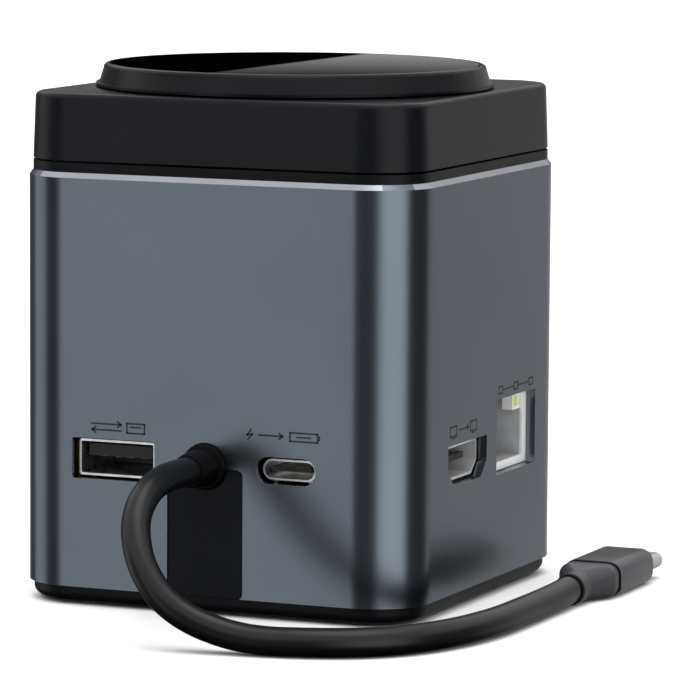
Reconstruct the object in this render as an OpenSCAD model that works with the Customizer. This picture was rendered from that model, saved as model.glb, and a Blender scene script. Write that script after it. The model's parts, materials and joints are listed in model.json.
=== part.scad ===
// Laptop docking station: a square aluminium tower with sockets on two faces,
// a captive lead with a flat oval plug, and a round charging pad that tilts up
// on a friction hinge at the edge of the lid.
//
// Millimetres. Z is up and the desk is Z = 0, at the middle of the tower.
// The lead, data and power sockets are on the -Y face, the video and network
// sockets on the +X face. The +Y face is plain and turns to the user.

/* [Tower] */
// Width and depth of the aluminium sleeve
sleeve_side = 67.6; // [60:0.1:80]
// Corner radius of the sleeve seen from above
sleeve_corner = 9.6; // [6:0.1:14]
// Wall of the extruded sleeve
sleeve_wall = 1.5; // [1:0.1:2]
// Height of the sleeve above the base
sleeve_height = 64.8; // [60:0.1:80]
// Height of the bright bevel round the top of the sleeve
bevel_height = 0.8; // [0.3:0.1:1.5]
// Width of the bevel, and the set-back of the band above it
bevel_width = 0.6; // [0.3:0.1:1.5]

/* [Base] */
// Height of the sleeve's lower edge above the desk
base_height = 3; // [2:0.1:5]
// Set-back of the base behind the sleeve
base_inset = 0.7; // [0.3:0.1:2]
// Radius of the base's lower edge
base_round = 1.5; // [0.5:0.1:2]
// Gap under the base, made by the rubber feet
foot_lift = 0.5; // [0.3:0.1:1]
// Diameter of each rubber foot
foot_diameter = 9; // [6:0.5:12]

/* [Band and lid] */
// Visible height of the black band between sleeve and lid
band_height = 1.5; // [1:0.1:3]
// Dark parting gap between band and lid
parting_gap = 0.3; // [0.2:0.05:0.6]
// Height of the lid
lid_height = 10.4; // [8:0.1:14]
// How far the lid's sides lean in between bottom and top
lid_draft = 0.35; // [0:0.05:1]
// Radius of the lid's upper edge
lid_round = 0.9; // [0.4:0.1:1.5]

/* [Charging pad] */
// Radius of the thin lip round the pad's lower edge
pad_lip_radius = 31.6; // [28:0.1:32]
// Visible thickness of the pad
pad_thickness = 3.4; // [2.5:0.1:5]
// Shadow gap between lid and pad
pad_gap = 0.3; // [0.2:0.05:1]
// Radius of the shallow boss that sits in the lid
pad_boss_radius = 26; // [20:0.5:28]
// Depth of that boss below the pad
pad_boss_depth = 2.3; // [1:0.1:4]
// Distance of the hinge pin from the middle of the tower
hinge_reach = 30; // [29.8:0.1:30.2]

/* [Sockets] */
// Height of the middle of the sockets above the desk
port_height = 23.4; // [22:0.1:26]
// Data socket, from the middle of its face
data_x = -15.7; // [-18:0.1:-13]
// Power socket, from the middle of its face
power_x = 13.6; // [11:0.1:16]
// Video socket, from the middle of its face
video_y = -9.3; // [-11:0.1:-8]
// Network jack, from the middle of its face
network_y = 11.4; // [10:0.1:13]

/* [Lead] */
// Diameter of the lead
lead_diameter = 4.5; // [3:0.1:5.5]
// Width of the plug's metal housing
plug_width = 9.8; // [9:0.1:12.3]
// Height of the plug's metal housing
plug_height = 5.6; // [5:0.1:6.5]

/* [Hidden] */
$fn = 96;

hair = 0.01;                 // lets a cutter pass clean through a face
cut = 1;                     // how far cutters run past what they cut
sleeve_half = sleeve_side / 2;
corner_core = sleeve_half - sleeve_corner;   // corner centres, shared by every storey
wall_face = sleeve_half - sleeve_wall;       // inner face of the sleeve
sleeve_top = base_height + sleeve_height;
upper_radius = sleeve_corner - bevel_width;  // corner radius of band and lid
band_top = sleeve_top + band_height;
lid_bottom = band_top + parting_gap;
lid_top = lid_bottom + lid_height;
pad_bottom = lid_top + pad_gap;
pad_top = pad_bottom + pad_thickness;

// Storeys inside the tower
board_thickness = 1.6;
main_board_top = 19.3;
power_board_top = 41.6;
deck_thickness = 1.6;        // plate of the band that closes the sleeve
deck_top = sleeve_top - 0.2;
spigot_gap = 0.1;            // play of the plugs that centre base and band in the sleeve
spigot_wall = 1.6;
base_spigot = 3;             // how far the base reaches up into the sleeve
band_spigot = 5;             // how far the band reaches down into it
base_boss_radius = 3.4;
base_boss_height = 5;
stack_at = 26;               // the board stack's four pillars
pillar_across = 5;           // across the flats of a pillar
screw_radius = 1.25;
screw_head_radius = 2.3;
screw_head_height = 1.3;
screw_recess = 0.4;
thread_play = 0.05;          // round a screw in the part that it is driven into
shank_play = 0.2;            // round a screw in the part that it holds down
base_screw_length = 8.5;
band_screw_length = 8;
lid_screw_length = 6.5;
drive_radius = 1;            // hexagon socket in a screw head
drive_depth = 0.6;
foot_at = 18;
foot_pocket = 0.6;
fit_play = 0.1;              // round parts that drop into a pocket
foot_dimple = 0.2;
foot_dimple_radius = 1.9;
base_floor = 2;
board_inset = 1.2;           // edge of a board inside the sleeve's inner face
chip_places = [[-9, -8], [-9, 8], [9, -8], [9, 8]];       // the power chips
chip_size = [6, 6, 1];
thermal_pad_height = 0.8;
spreader = [28, 26, 2];
fin = [1.2, 26, 7];
fin_count = 9;

// Lid and pad
lid_wall = 1.8;
lid_roof = 2;
ledge_height = 1.2;          // ledge that carries the lid's centring rim
rim_outer = upper_radius - 2.6;
rim_inner = upper_radius - 4.1;
band_wall = 2.4;
well_radius = pad_boss_radius + 0.4;
well_wall = 1.4;
well_floor = 1.6;
bumper_height = 0.3;         // the pad rests this far above the floor of its well
well_bottom = pad_bottom - pad_boss_depth - bumper_height;
bumper_at = 14;
bumper_radius = 2;
bumper_seat = 0.5;
boss_radius = 3;             // screw bosses inside the lid
boss_at = 16.5;
pad_floor = 1;
pad_wall_radius = 31.1;      // side of the pad just above its lip
pad_shoulder_radius = 30.4;  // side of the pad where its upper edge starts to round
pad_edge_round = 0.7;
pad_lip_height = 0.4;
glass_radius = 29.4;
glass_thickness = 1.1;
glass_seat = glass_radius + 0.1;
pad_room_radius = 28.4;      // room for the magnets under the glass
pad_pocket_radius = 25;      // room for board and coil inside the boss

// Hinge, under the far edge of the pad so that its top stays a full circle
knuckle_radius = 0.95;
hinge_height = pad_bottom + knuckle_radius;
pin_radius = 0.45;
pin_play = 0.05;
middle_knuckle = 11.4;       // the pad's own knuckle
outer_knuckle = 4.8;         // each of the two knuckles on the lid
knuckle_gap = 0.3;
knuckle_play = 0.15;         // round the lid's knuckles, inside the pad
stem_depth = 1.8;            // stems that carry the lid's knuckles
room_end = 27;               // the magnets' room stops short of the hinge
outer_knuckle_at = (middle_knuckle + outer_knuckle) / 2 + knuckle_gap;
pin_length = middle_knuckle + 2 * knuckle_gap + 2 * outer_knuckle;
bracket_plate = 1.2;
bracket_width = 24;
hinge_screw_at = [3, -0.3];  // from the hinge pin's middle
hinge_screw_radius = 0.7;
hinge_screw_head = [1.2, 0.8];
ribbon_slot = [9, 3];        // way through band, well and board for the pad's ribbon
ribbon_slot_y = 20.5;

// Sockets
socket_setback = 0.1;        // fronts of the sockets behind the sleeve's inner face
socket_front = wall_face - socket_setback;
shell_tail = 0.1;            // how far a shell's legs reach into it
data_window = [14.2, 6.4];
data_window_corner = 0.5;
data_shell = [13.1, 5.7];
data_shell_corner = 0.45;
data_shell_sheet = 0.35;
data_shell_depth = 14;
power_window = [9.9, 4.2];
power_shell = [8.94, 3.26];
power_shell_sheet = 0.3;
power_shell_depth = 7.6;
// Video outlines: half width, half height, half width of the lower edge
video_window = [8.1, 3.2, 5.7];
video_shell = [7.55, 2.75, 5.3];
video_hollow = [7.15, 2.35, 5.05];
video_shoulder = 0.7;        // below the middle, where the sides turn in
video_shell_depth = 11.5;
video_drop = 0.25;           // the video shell sits a little under the row
network_window = [16.9, 12];
network_sheet = 0.4;
network_rise = 7.5;          // height of the cavity under the light blocks
latch_depth = 8;             // depth of the slot between the light blocks
light_block_inner = 3.3;     // their inner sides, from the middle of the jack
light_block_depth = 7.5;
light_block_height = 2.8;
light_window_y = [4.1, 5.9]; // the window in the +Y block, from the middle of the jack
light_window_drop = [2.1, 0.6];
light_window_depth = 1.4;
light_window_recess = 0.15;
network_floor = main_board_top + 0.1;        // underside of the network jack
network_shell = [17.4, 12.2];
network_mouth = [13.4, 10.3];
network_mouth_floor = network_floor + 1.25;
network_depth = 17;
cavity_depth = 13;
data_contact_half = 0.45;
network_pitch = 1.02;
network_spring = [7, 0.3, 0.3];

// Lead and plug
lead_radius = lead_diameter / 2;
slot_width = 12.8;           // slot in the sleeve that the cable insert closes
slot_top = port_height - 0.3;
slot_corner = 1;
gland_radius = 3.55;
relief_start_radius = 2.95;
relief_end_radius = 2.6;
relief_end = -40;            // Y of the strain relief's outer end
gland_proud = 1;
gland_play = 0.1;
gland_flange = [0.35, 2.1];  // the gland's flange behind the wall: extra radius, length
insert_play = 0.08;
insert_recess = 0.15;
insert_flange_depth = 1.9;
insert_flange_top = main_board_top - board_thickness - 0.4;
plug_x = 47.7;
neck_start = -1;
neck_end = 10;
housing_end = 25;
shell_end = 31.4;
plug_centre = plug_height / 2;
ring_width = 0.7;
ring_inset = 0.3;
neck_collar = 3.2;           // length of the neck's round start
plug_round = 2.1;
tip = [8.34, 2.56];          // oval tip of the plug
tip_wall = 0.32;
tip_root = 3;                // how far the tip reaches into the housing
tube_sides = 12;
spans_per_leg = 2;           // rings of the lead between two route points

lead_lie = lead_radius + 0.02;               // height of its middle where it lies on the desk
plug_axis = lead_radius + 0.3;               // and where it enters the plug's neck

// Middle line of the lead, from the strain relief to the plug
lead_route = [
    [0, relief_end, port_height], [0, -44, 23.5], [-0.2, -48, 23.3], [-0.4, -52, 22.4],
    [-0.4, -55.6, 20.5], [0.1, -58.4, 18.1], [1.2, -60.5, 15.4], [2.7, -62, 12.7],
    [4.7, -62.9, 10], [7.1, -63.2, 7.6], [10.1, -62.9, 5.5], [13.9, -62.2, 3.8],
    [18.2, -61.5, 2.7], [22.7, -60.8, lead_lie], [27.6, -59.7, lead_lie],
    [32.5, -57.8, lead_lie], [36.9, -55.1, lead_lie], [40.6, -51.3, lead_lie],
    [43.4, -46.4, lead_lie], [45.4, -40.9, lead_lie], [46.6, -35.2, lead_lie],
    [47.3, -29.2, lead_lie], [47.5, -22, lead_lie], [47.6, -14.5, lead_lie],
    [plug_x, -7, lead_lie + 0.1], [plug_x, neck_start, plug_axis]
];

// ---- shared shapes ----

// Rounded square around the shared corner centres
module storey_outline(radius) {
    square([2 * corner_core, 2 * (corner_core + radius)], center = true);
    square([2 * (corner_core + radius), 2 * corner_core], center = true);
    for (x = [-1, 1], y = [-1, 1]) translate([x * corner_core, y * corner_core]) circle(r = radius);
}

module storey(radius, low, high) {
    translate([0, 0, low]) linear_extrude(height = high - low) storey_outline(radius);
}

// A storey whose edge has its own profile: children are drawn with X as the
// distance out from the corner centres and Y as the height
module edged_storey(low, high) {
    translate([-corner_core, -corner_core, low])
        cube([2 * corner_core, 2 * corner_core, high - low]);
    for (turn = [0:90:270]) rotate([0, 0, turn]) {
        translate([corner_core, 0, 0]) rotate([90, 0, 0])
            linear_extrude(height = 2 * corner_core, center = true) children();
        translate([corner_core, corner_core, 0]) rotate_extrude(angle = 90) children();
    }
}

module at_corners(distance) {
    for (x = [-1, 1], y = [-1, 1]) translate([x * distance, y * distance, 0]) children();
}

module rounded_plate(size, radius) {
    square([size.x - 2 * radius, size.y], center = true);
    square([size.x, size.y - 2 * radius], center = true);
    for (x = [-1, 1], y = [-1, 1])
        translate([x * (size.x / 2 - radius), y * (size.y / 2 - radius)]) circle(r = radius);
}

module oval(size) {
    rounded_plate(size, size.y / 2 - hair);
}

// Outline of the video socket: a wide upper part and a narrower lower edge
module video_outline(halves) {
    polygon([[-halves.x, halves.y], [halves.x, halves.y], [halves.x, -video_shoulder],
             [halves.z, -halves.y], [-halves.z, -halves.y], [-halves.x, -video_shoulder]]);
}

// Stands a flat drawing upright on the -Y side, drawn as seen from outside,
// and runs it inwards from the plane Y = -front
module inward_from_back(front, depth) {
    translate([0, -front, 0]) rotate([90, 0, 0]) mirror([0, 0, 1])
        linear_extrude(height = depth) children();
}

// The same on the +X side: the drawing's X becomes +Y
module inward_from_side(front, depth) {
    rotate([0, 0, 90]) inward_from_back(front, depth) children();
}

module block(low, high) {
    translate(low) cube(high - low);
}

module bar(radius, low, high) {
    translate([0, 0, low]) cylinder(r = radius, h = high - low);
}

// Hexagonal pillars of the board stack, drilled for the screws that meet in them
module pillars(low, high) {
    at_corners(stack_at) difference() {
        translate([0, 0, low])
            cylinder(r = pillar_across / sqrt(3), h = high - low, $fn = 6);
        bar(screw_radius + thread_play, low - cut, high + cut);
    }
}

// Screw standing head up on a seat
module cap_screw(seat, length) {
    difference() {
        union() {
            bar(screw_head_radius, seat, seat + screw_head_height);
            bar(screw_radius, seat - length, seat + hair);
        }
        translate([0, 0, seat + screw_head_height - drive_depth])
            cylinder(r = drive_radius, h = cut, $fn = 6);
    }
}

// The same screw head down, under its seat
module hanging_screw(seat, length) {
    translate([0, 0, 2 * seat]) mirror([0, 0, 1]) cap_screw(seat, length);
}

// Slot that the pad's ribbon passes through
module ribbon_way(low, high) {
    translate([-ribbon_slot.x / 2, ribbon_slot_y - ribbon_slot.y / 2, low])
        cube([ribbon_slot.x, ribbon_slot.y, high - low]);
}

// Legs that stand a socket's shell on the main board, at places along its depth
module shell_legs(middle, half_spread, places, leg, top) {
    for (x = [-1, 1], y = places)
        block([middle + x * half_spread - leg.x / 2, -socket_front + y, main_board_top],
              [middle + x * half_spread + leg.x / 2, -socket_front + y + leg.y,
               top + shell_tail]);
}

// ---- tower ----

module body_sleeve() {
    color([0.42, 0.45, 0.49]) difference() {
        edged_storey(base_height, sleeve_top)
            polygon([[0, base_height], [sleeve_corner, base_height],
                     [sleeve_corner, sleeve_top - bevel_height],
                     [sleeve_corner - bevel_width, sleeve_top], [0, sleeve_top]]);
        storey(sleeve_corner - sleeve_wall, base_height - cut, sleeve_top + cut);
        inward_from_back(sleeve_half + cut, sleeve_wall + 2 * cut) {
            translate([data_x, port_height]) rounded_plate(data_window, data_window_corner);
            translate([power_x, port_height]) oval(power_window);
            translate([0, port_height]) circle(r = gland_radius + gland_play);
            cable_slot_outline(0);
        }
        inward_from_side(sleeve_half + cut, sleeve_wall + 2 * cut) {
            translate([video_y, port_height - video_drop]) video_outline(video_window);
            translate([network_y, main_board_top + network_window.y / 2])
                square(network_window, center = true);
        }
    }
}

// Slot that the cable insert fills, open at the sleeve's lower edge
module cable_slot_outline(play) {
    half = slot_width / 2 - play;
    translate([-half, base_height - cut])
        square([2 * half, slot_top - slot_corner - base_height + cut - play]);
    translate([-(half - slot_corner), base_height])
        square([2 * (half - slot_corner), slot_top - base_height - play]);
    for (x = [-1, 1]) translate([x * (half - slot_corner), slot_top - slot_corner - play])
        circle(r = slot_corner);
}

module base_plate() {
    base_radius = sleeve_corner - base_inset;
    spigot_radius = sleeve_corner - sleeve_wall - spigot_gap;
    spigot_top = base_height + base_spigot;
    boss_top = base_height + base_boss_height;
    edge = foot_lift + base_round;           // where the rounded lower edge ends
    color([0.09, 0.09, 0.1]) difference() {
        union() {
            edged_storey(foot_lift, base_height) {
                translate([0, foot_lift]) square([base_radius - base_round, base_height - foot_lift]);
                translate([0, edge]) square([base_radius, base_height - edge]);
                translate([base_radius - base_round, edge]) intersection() {
                    circle(r = base_round);
                    translate([0, -base_round]) square([base_round, base_round]);
                }
            }
            storey(spigot_radius, base_height - hair, spigot_top);
            at_corners(stack_at) bar(base_boss_radius, base_floor, boss_top);
        }
        difference() {
            storey(spigot_radius - spigot_wall, foot_lift + base_floor, spigot_top + cut);
            at_corners(stack_at) bar(base_boss_radius, 0, boss_top);
        }
        at_corners(foot_at) bar(foot_diameter / 2 + fit_play, 0, foot_lift + foot_pocket);
        at_corners(stack_at) {
            bar(screw_radius + shank_play, 0, boss_top + cut);
            bar(screw_head_radius + shank_play, 0, foot_lift + screw_recess + screw_head_height);
        }
        // room behind the sleeve for the foot of the cable insert
        block([-slot_width / 2, -sleeve_half - cut, base_height],
              [slot_width / 2, -wall_face + spigot_wall + spigot_gap + cut, spigot_top + cut]);
    }
}

module rubber_feet() {
    color([0.14, 0.14, 0.15]) at_corners(foot_at) difference() {
        bar(foot_diameter / 2, 0, foot_lift + foot_pocket);
        bar(foot_dimple_radius, -cut, foot_dimple);
    }
}

module base_screws() {
    color([0.5, 0.5, 0.52]) at_corners(stack_at)
        hanging_screw(foot_lift + screw_recess + screw_head_height, base_screw_length);
}

module top_band() {
    spigot_radius = sleeve_corner - sleeve_wall - spigot_gap;
    deck_bottom = deck_top - deck_thickness;
    color([0.08, 0.085, 0.09]) difference() {
        union() {
            storey(upper_radius, sleeve_top, band_top);
            storey(spigot_radius, sleeve_top - band_spigot, sleeve_top + hair);
        }
        storey(spigot_radius - spigot_wall, sleeve_top - band_spigot - cut, deck_bottom);
        storey(upper_radius - band_wall, deck_top, band_top + cut);
        for (place = [stack_at, boss_at]) at_corners(place)
            bar(screw_radius + shank_play, deck_bottom - cut, deck_top + cut);
        ribbon_way(deck_bottom - cut, deck_top + cut);
    }
}

module band_screws() {
    color([0.5, 0.5, 0.52]) at_corners(stack_at) cap_screw(deck_top, band_screw_length);
}

// ---- lid ----

module lid() {
    shoulder = lid_top - lid_round;
    top_radius = upper_radius - lid_draft;
    inner_radius = upper_radius - lid_wall;
    color([0.1, 0.105, 0.115]) difference() {
        union() {
            difference() {
                edged_storey(lid_bottom, lid_top) {
                    polygon([[0, lid_bottom], [upper_radius, lid_bottom], [top_radius, shoulder],
                             [0, shoulder]]);
                    translate([0, shoulder]) square([top_radius - lid_round, lid_round]);
                    translate([top_radius - lid_round, shoulder]) intersection() {
                        circle(r = lid_round);
                        square([lid_round, lid_round]);
                    }
                }
                storey(inner_radius, lid_bottom - cut, well_bottom - well_floor);
                lid_upper_room();
            }
            // ledge and centring rim that drops inside the band and stands on its deck
            difference() {
                union() {
                    storey(rim_outer, deck_top, lid_bottom + ledge_height);
                    storey(inner_radius + hair, lid_bottom, lid_bottom + ledge_height);
                }
                storey(rim_inner, deck_top - cut, lid_bottom + ledge_height + cut);
            }
            at_corners(boss_at) bar(boss_radius, deck_top, well_bottom - well_floor + hair);
        }
        bar(well_radius, well_bottom, lid_top + cut);
        at_corners(boss_at) bar(screw_radius + thread_play, deck_top - cut,
                                deck_top + lid_screw_length);
        for (x = [-1, 1]) {
            // slots for the stems of the lid's knuckles
            translate([x * outer_knuckle_at, hinge_reach, lid_top])
                cube([outer_knuckle + 2 * fit_play, stem_depth + 2 * fit_play, 2 * lid_roof + cut],
                     center = true);
            translate([x * hinge_screw_at.x, hinge_reach + hinge_screw_at.y, 0])
                bar(hinge_screw_radius + thread_play, lid_top - lid_roof - cut, lid_top - 0.7);
        }
        at_corners(bumper_at) bar(bumper_radius + fit_play, well_bottom - bumper_seat,
                                  well_bottom + hair);
        ribbon_way(well_bottom - well_floor - cut, well_bottom + cut);
    }
}

// Hollow of the lid outside the well, up to the skin of its top
module lid_upper_room() {
    difference() {
        storey(upper_radius - lid_wall - lid_draft, lid_bottom, lid_top - lid_roof);
        bar(well_radius + well_wall, lid_bottom - cut, lid_top);
    }
}

module lid_screws() {
    color([0.5, 0.5, 0.52]) at_corners(boss_at)
        hanging_screw(deck_top - deck_thickness, lid_screw_length);
}

module hinge_bracket() {
    low = lid_top - lid_roof - bracket_plate;
    color([0.3, 0.3, 0.32]) difference() {
        union() {
            block([-bracket_width / 2, hinge_reach - 1.7, low],
                  [bracket_width / 2, hinge_reach + 0.9, low + bracket_plate]);
            for (x = [-1, 1]) translate([x * outer_knuckle_at, hinge_reach, 0]) {
                block([-outer_knuckle / 2, -stem_depth / 2, low + hair],
                      [outer_knuckle / 2, stem_depth / 2, hinge_height]);
                translate([0, 0, hinge_height]) rotate([0, 90, 0])
                    cylinder(r = knuckle_radius, h = outer_knuckle, center = true);
            }
        }
        translate([0, hinge_reach, hinge_height]) rotate([0, 90, 0])
            cylinder(r = pin_radius, h = pin_length + 2 * cut, center = true);
        for (x = [-1, 1]) translate([x * hinge_screw_at.x, hinge_reach + hinge_screw_at.y, 0])
            bar(hinge_screw_radius + fit_play, low - cut, low + bracket_plate + cut);
    }
}

module hinge_screws() {
    seat = lid_top - lid_roof - bracket_plate;
    color([0.55, 0.55, 0.57]) for (x = [-1, 1])
        translate([x * hinge_screw_at.x, hinge_reach + hinge_screw_at.y, 0]) {
            bar(hinge_screw_radius, seat - hair, lid_top - 0.8);
            bar(hinge_screw_head.x, seat - hinge_screw_head.y, seat);
        }
}

module hinge_pin() {
    color([0.7, 0.7, 0.72]) translate([0, hinge_reach, hinge_height]) rotate([0, 90, 0])
        cylinder(r = pin_radius, h = pin_length, center = true);
}

module pad_bumpers() {
    color([0.2, 0.2, 0.2]) at_corners(bumper_at)
        bar(bumper_radius, well_bottom - bumper_seat, well_bottom + bumper_height);
}

// ---- charging pad ----

module pad_base() {
    pocket_floor = pad_bottom - pad_boss_depth + pad_floor;
    shoulder = pad_top - pad_edge_round;
    color([0.13, 0.135, 0.145]) difference() {
        union() {
            difference() {
                rotate_extrude() {
                    polygon([[0, pad_bottom - pad_boss_depth],
                             [pad_boss_radius, pad_bottom - pad_boss_depth],
                             [pad_boss_radius, pad_bottom], [pad_lip_radius, pad_bottom],
                             [pad_lip_radius, pad_bottom + pad_lip_height],
                             [pad_wall_radius, pad_bottom + pad_lip_height],
                             [pad_shoulder_radius, shoulder], [0, shoulder]]);
                    translate([0, shoulder])
                        square([pad_shoulder_radius - pad_edge_round, pad_edge_round]);
                    translate([pad_shoulder_radius - pad_edge_round, shoulder]) intersection() {
                        circle(r = pad_edge_round);
                        square([pad_edge_round, pad_edge_round]);
                    }
                }
                // the lower edge is cut away behind the pin, and round the lid's knuckles
                block([-pin_length / 2 - knuckle_gap, hinge_reach, pad_bottom - cut],
                      [pin_length / 2 + knuckle_gap, pad_lip_radius + cut, hinge_height]);
                for (x = [-1, 1]) translate([x * outer_knuckle_at, 0, 0]) {
                    half = outer_knuckle / 2 + knuckle_gap;
                    clear = knuckle_radius + knuckle_play;
                    block([-half, hinge_reach - clear, pad_bottom - cut],
                          [half, pad_lip_radius + cut, hinge_height]);
                    translate([0, hinge_reach, hinge_height]) rotate([0, 90, 0])
                        cylinder(r = clear, h = 2 * half, center = true);
                }
            }
            translate([0, hinge_reach, hinge_height]) rotate([0, 90, 0])
                cylinder(r = knuckle_radius, h = middle_knuckle, center = true);
        }
        bar(glass_seat, pad_top - glass_thickness, pad_top + cut);
        intersection() {
            bar(pad_room_radius, pad_bottom + pad_floor, pad_top);
            block([-pad_lip_radius, -pad_lip_radius, pad_bottom],
                  [pad_lip_radius, room_end, pad_top]);
        }
        bar(pad_pocket_radius, pocket_floor, pad_top);
        translate([0, hinge_reach, hinge_height]) rotate([0, 90, 0])
            cylinder(r = pin_radius + pin_play, h = middle_knuckle + cut, center = true);
    }
}

module pad_glass() {
    color([0.02, 0.02, 0.025]) bar(glass_radius, pad_top - glass_thickness + hair, pad_top);
}

module pad_board() {
    low = pad_bottom - pad_boss_depth + pad_floor;
    color([0.05, 0.25, 0.16]) difference() {
        bar(pad_pocket_radius - 0.4, low, low + 0.8);
        bar(4, low - cut, low + 2);
    }
}

module coil_ferrite() {
    low = pad_bottom - pad_boss_depth + pad_floor + 0.9;
    color([0.22, 0.22, 0.22]) difference() {
        bar(22, low, low + 0.7);
        bar(3, low - cut, low + 2);
    }
}

// Flat winding: turns beside one another, drawn as rings
module charging_coil() {
    low = pad_bottom - pad_boss_depth + pad_floor + 1.65;
    color([0.72, 0.42, 0.2]) for (turn = [0:7]) {
        inner = 10.4 + turn * 1.4;
        difference() {
            bar(inner + 1.2, low, low + 0.9);
            bar(inner, low - cut, low + 2);
        }
    }
}

module pad_magnets() {
    low = pad_bottom + pad_floor + 0.05;
    segments = 16;
    pitch = 360 / segments;
    color([0.62, 0.62, 0.6]) for (step = [0:segments - 1])
        rotate([0, 0, step * pitch + pitch / 2]) translate([0, 0, low])
            if (abs(sin(step * pitch + pitch / 2)) < 0.9 || sin(step * pitch + pitch / 2) < 0)
                rotate([0, 0, -pitch / 2 + 2]) rotate_extrude(angle = pitch - 4)
                    translate([22.6, 0]) square([5.2, 1]);
}

// ---- sockets of the -Y face ----

module data_socket() {
    hollow = [data_shell.x - 2 * data_shell_sheet, data_shell.y - 2 * data_shell_sheet];
    color([0.75, 0.75, 0.76]) {
        difference() {
            inward_from_back(socket_front, data_shell_depth)
                translate([data_x, port_height]) rounded_plate(data_shell, data_shell_corner);
            inward_from_back(socket_front + cut, data_shell_depth + cut - network_sheet)
                translate([data_x, port_height])
                    rounded_plate(hollow, data_shell_corner - data_shell_sheet / 2);
        }
        shell_legs(data_x, 5.6, [3, 10], [0.8, 1.6], port_height - data_shell.y / 2);
    }
}

module data_tongue() {
    color([0.12, 0.12, 0.13]) {
        block([data_x - 5.6, -socket_front + 1.6, port_height + 0.1],
              [data_x + 5.6, -socket_front + 12, port_height + 1.95]);
        block([data_x - 6.1, -socket_front + 11.9, port_height - 2.4],
              [data_x + 6.1, -socket_front + 13.5, port_height + 2.4]);
    }
}

module data_contacts() {
    color([0.85, 0.7, 0.3]) for (place = [-3.5, -1, 1, 3.5])
        block([data_x + place - data_contact_half, -socket_front + 2.4, port_height - 0.05],
              [data_x + place + data_contact_half, -socket_front + 11.8, port_height + 0.1]);
}

module power_socket() {
    hollow = [power_shell.x - 2 * power_shell_sheet, power_shell.y - 2 * power_shell_sheet];
    color([0.75, 0.75, 0.76]) {
        difference() {
            inward_from_back(socket_front, power_shell_depth)
                translate([power_x, port_height]) oval(power_shell);
            inward_from_back(socket_front + cut, power_shell_depth + cut - 2 * power_shell_sheet)
                translate([power_x, port_height]) oval(hollow);
        }
        shell_legs(power_x, 2.9, [1.4, 5], [0.7, 1.2], port_height - power_shell.y / 2);
    }
}

module power_tongue() {
    color([0.1, 0.1, 0.11])
        block([power_x - 3.35, -socket_front + 1, port_height - 0.35],
              [power_x + 3.35, -socket_front + 7, port_height + 0.35]);
}

module power_contacts() {
    color([0.85, 0.7, 0.3]) for (step = [-5:5], side = [-1, 1])
        block([power_x + step * 0.5 - 0.13, -socket_front + 1.4,
               port_height + side * 0.4 - 0.05],
              [power_x + step * 0.5 + 0.13, -socket_front + 6, port_height + side * 0.4 + 0.05]);
}

// ---- sockets of the +X face ----

module video_socket() {
    middle = port_height - video_drop;
    color([0.75, 0.75, 0.76]) {
        difference() {
            inward_from_side(socket_front, video_shell_depth)
                translate([video_y, middle]) video_outline(video_shell);
            inward_from_side(socket_front + cut, video_shell_depth + cut - network_sheet)
                translate([video_y, middle]) video_outline(video_hollow);
        }
        rotate([0, 0, 90])
            shell_legs(video_y, 4.6, [2.5, 8], [0.8, 1.6], middle - video_shell.y);
    }
}

module video_tongue() {
    middle = port_height - video_drop;
    color([0.08, 0.08, 0.09])
        block([socket_front - 11, video_y - 6.1, middle - 0.35],
              [socket_front - 1.6, video_y + 6.1, middle + 0.6]);
}

module video_contacts() {
    middle = port_height - video_drop;
    color([0.85, 0.7, 0.3]) for (step = [-4:4], side = [0, 1])
        block([socket_front - 10, video_y + step - 0.2 + side * 0.5, middle - 0.4 + side],
              [socket_front - 2.2, video_y + step + 0.2 + side * 0.5, middle - 0.35 + side]);
}

// Steel can of the network jack with its drawn front frame
module network_shield() {
    low = network_floor;
    high = low + network_shell.y;
    color([0.78, 0.78, 0.79]) difference() {
        block([socket_front - network_depth, network_y - network_shell.x / 2, low],
              [socket_front, network_y + network_shell.x / 2, high]);
        block([socket_front - network_depth + network_sheet,
               network_y - network_shell.x / 2 + network_sheet, low + network_sheet],
              [socket_front - network_sheet, network_y + network_shell.x / 2 - network_sheet,
               high - network_sheet]);
        block([socket_front - cut, network_y - network_mouth.x / 2, network_mouth_floor],
              [socket_front + cut, network_y + network_mouth.x / 2,
               network_mouth_floor + network_mouth.y]);
    }
}

// Moulded body inside the can, with the cavity that takes a plug
module network_liner() {
    low = network_floor + network_sheet;
    high = network_floor + network_shell.y - network_sheet;
    back = socket_front - network_depth + network_sheet;
    front = socket_front - network_sheet;
    color([0.55, 0.56, 0.57]) difference() {
        block([back, network_y - network_shell.x / 2 + network_sheet, low],
              [front, network_y + network_shell.x / 2 - network_sheet, high]);
        block([front - cavity_depth, network_y - network_mouth.x / 2, network_mouth_floor],
              [front + cut, network_y + network_mouth.x / 2, network_mouth_floor + network_rise]);
        // latch slot between the two light blocks
        block([front - latch_depth, network_y - network_mouth.x / 2,
               network_mouth_floor + network_rise - hair],
              [front + cut, network_y + network_mouth.x / 2,
               network_mouth_floor + network_mouth.y]);
    }
}

module network_contacts() {
    color([0.85, 0.7, 0.3]) for (step = [0:7])
        translate([socket_front - network_sheet - cavity_depth + 0.3,
                   network_y + (step - 3.5) * network_pitch - network_spring.y / 2,
                   network_mouth_floor + 0.02])
            rotate([0, -14, 0]) translate([0.2, 0, 0]) cube(network_spring);
}

module network_light_blocks() {
    front = socket_front - network_sheet;
    roof = network_mouth_floor + network_mouth.y;
    width = network_mouth.x / 2 - light_block_inner;
    color([0.9, 0.9, 0.88]) difference() {
        for (side = [-1, 1])
            translate([front - light_block_depth,
                       network_y + side * (light_block_inner + width / 2) - width / 2,
                       roof - light_block_height])
                cube([light_block_depth, width, light_block_height]);
        light_window(front - light_window_depth - hair, front + cut);
    }
}

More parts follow.
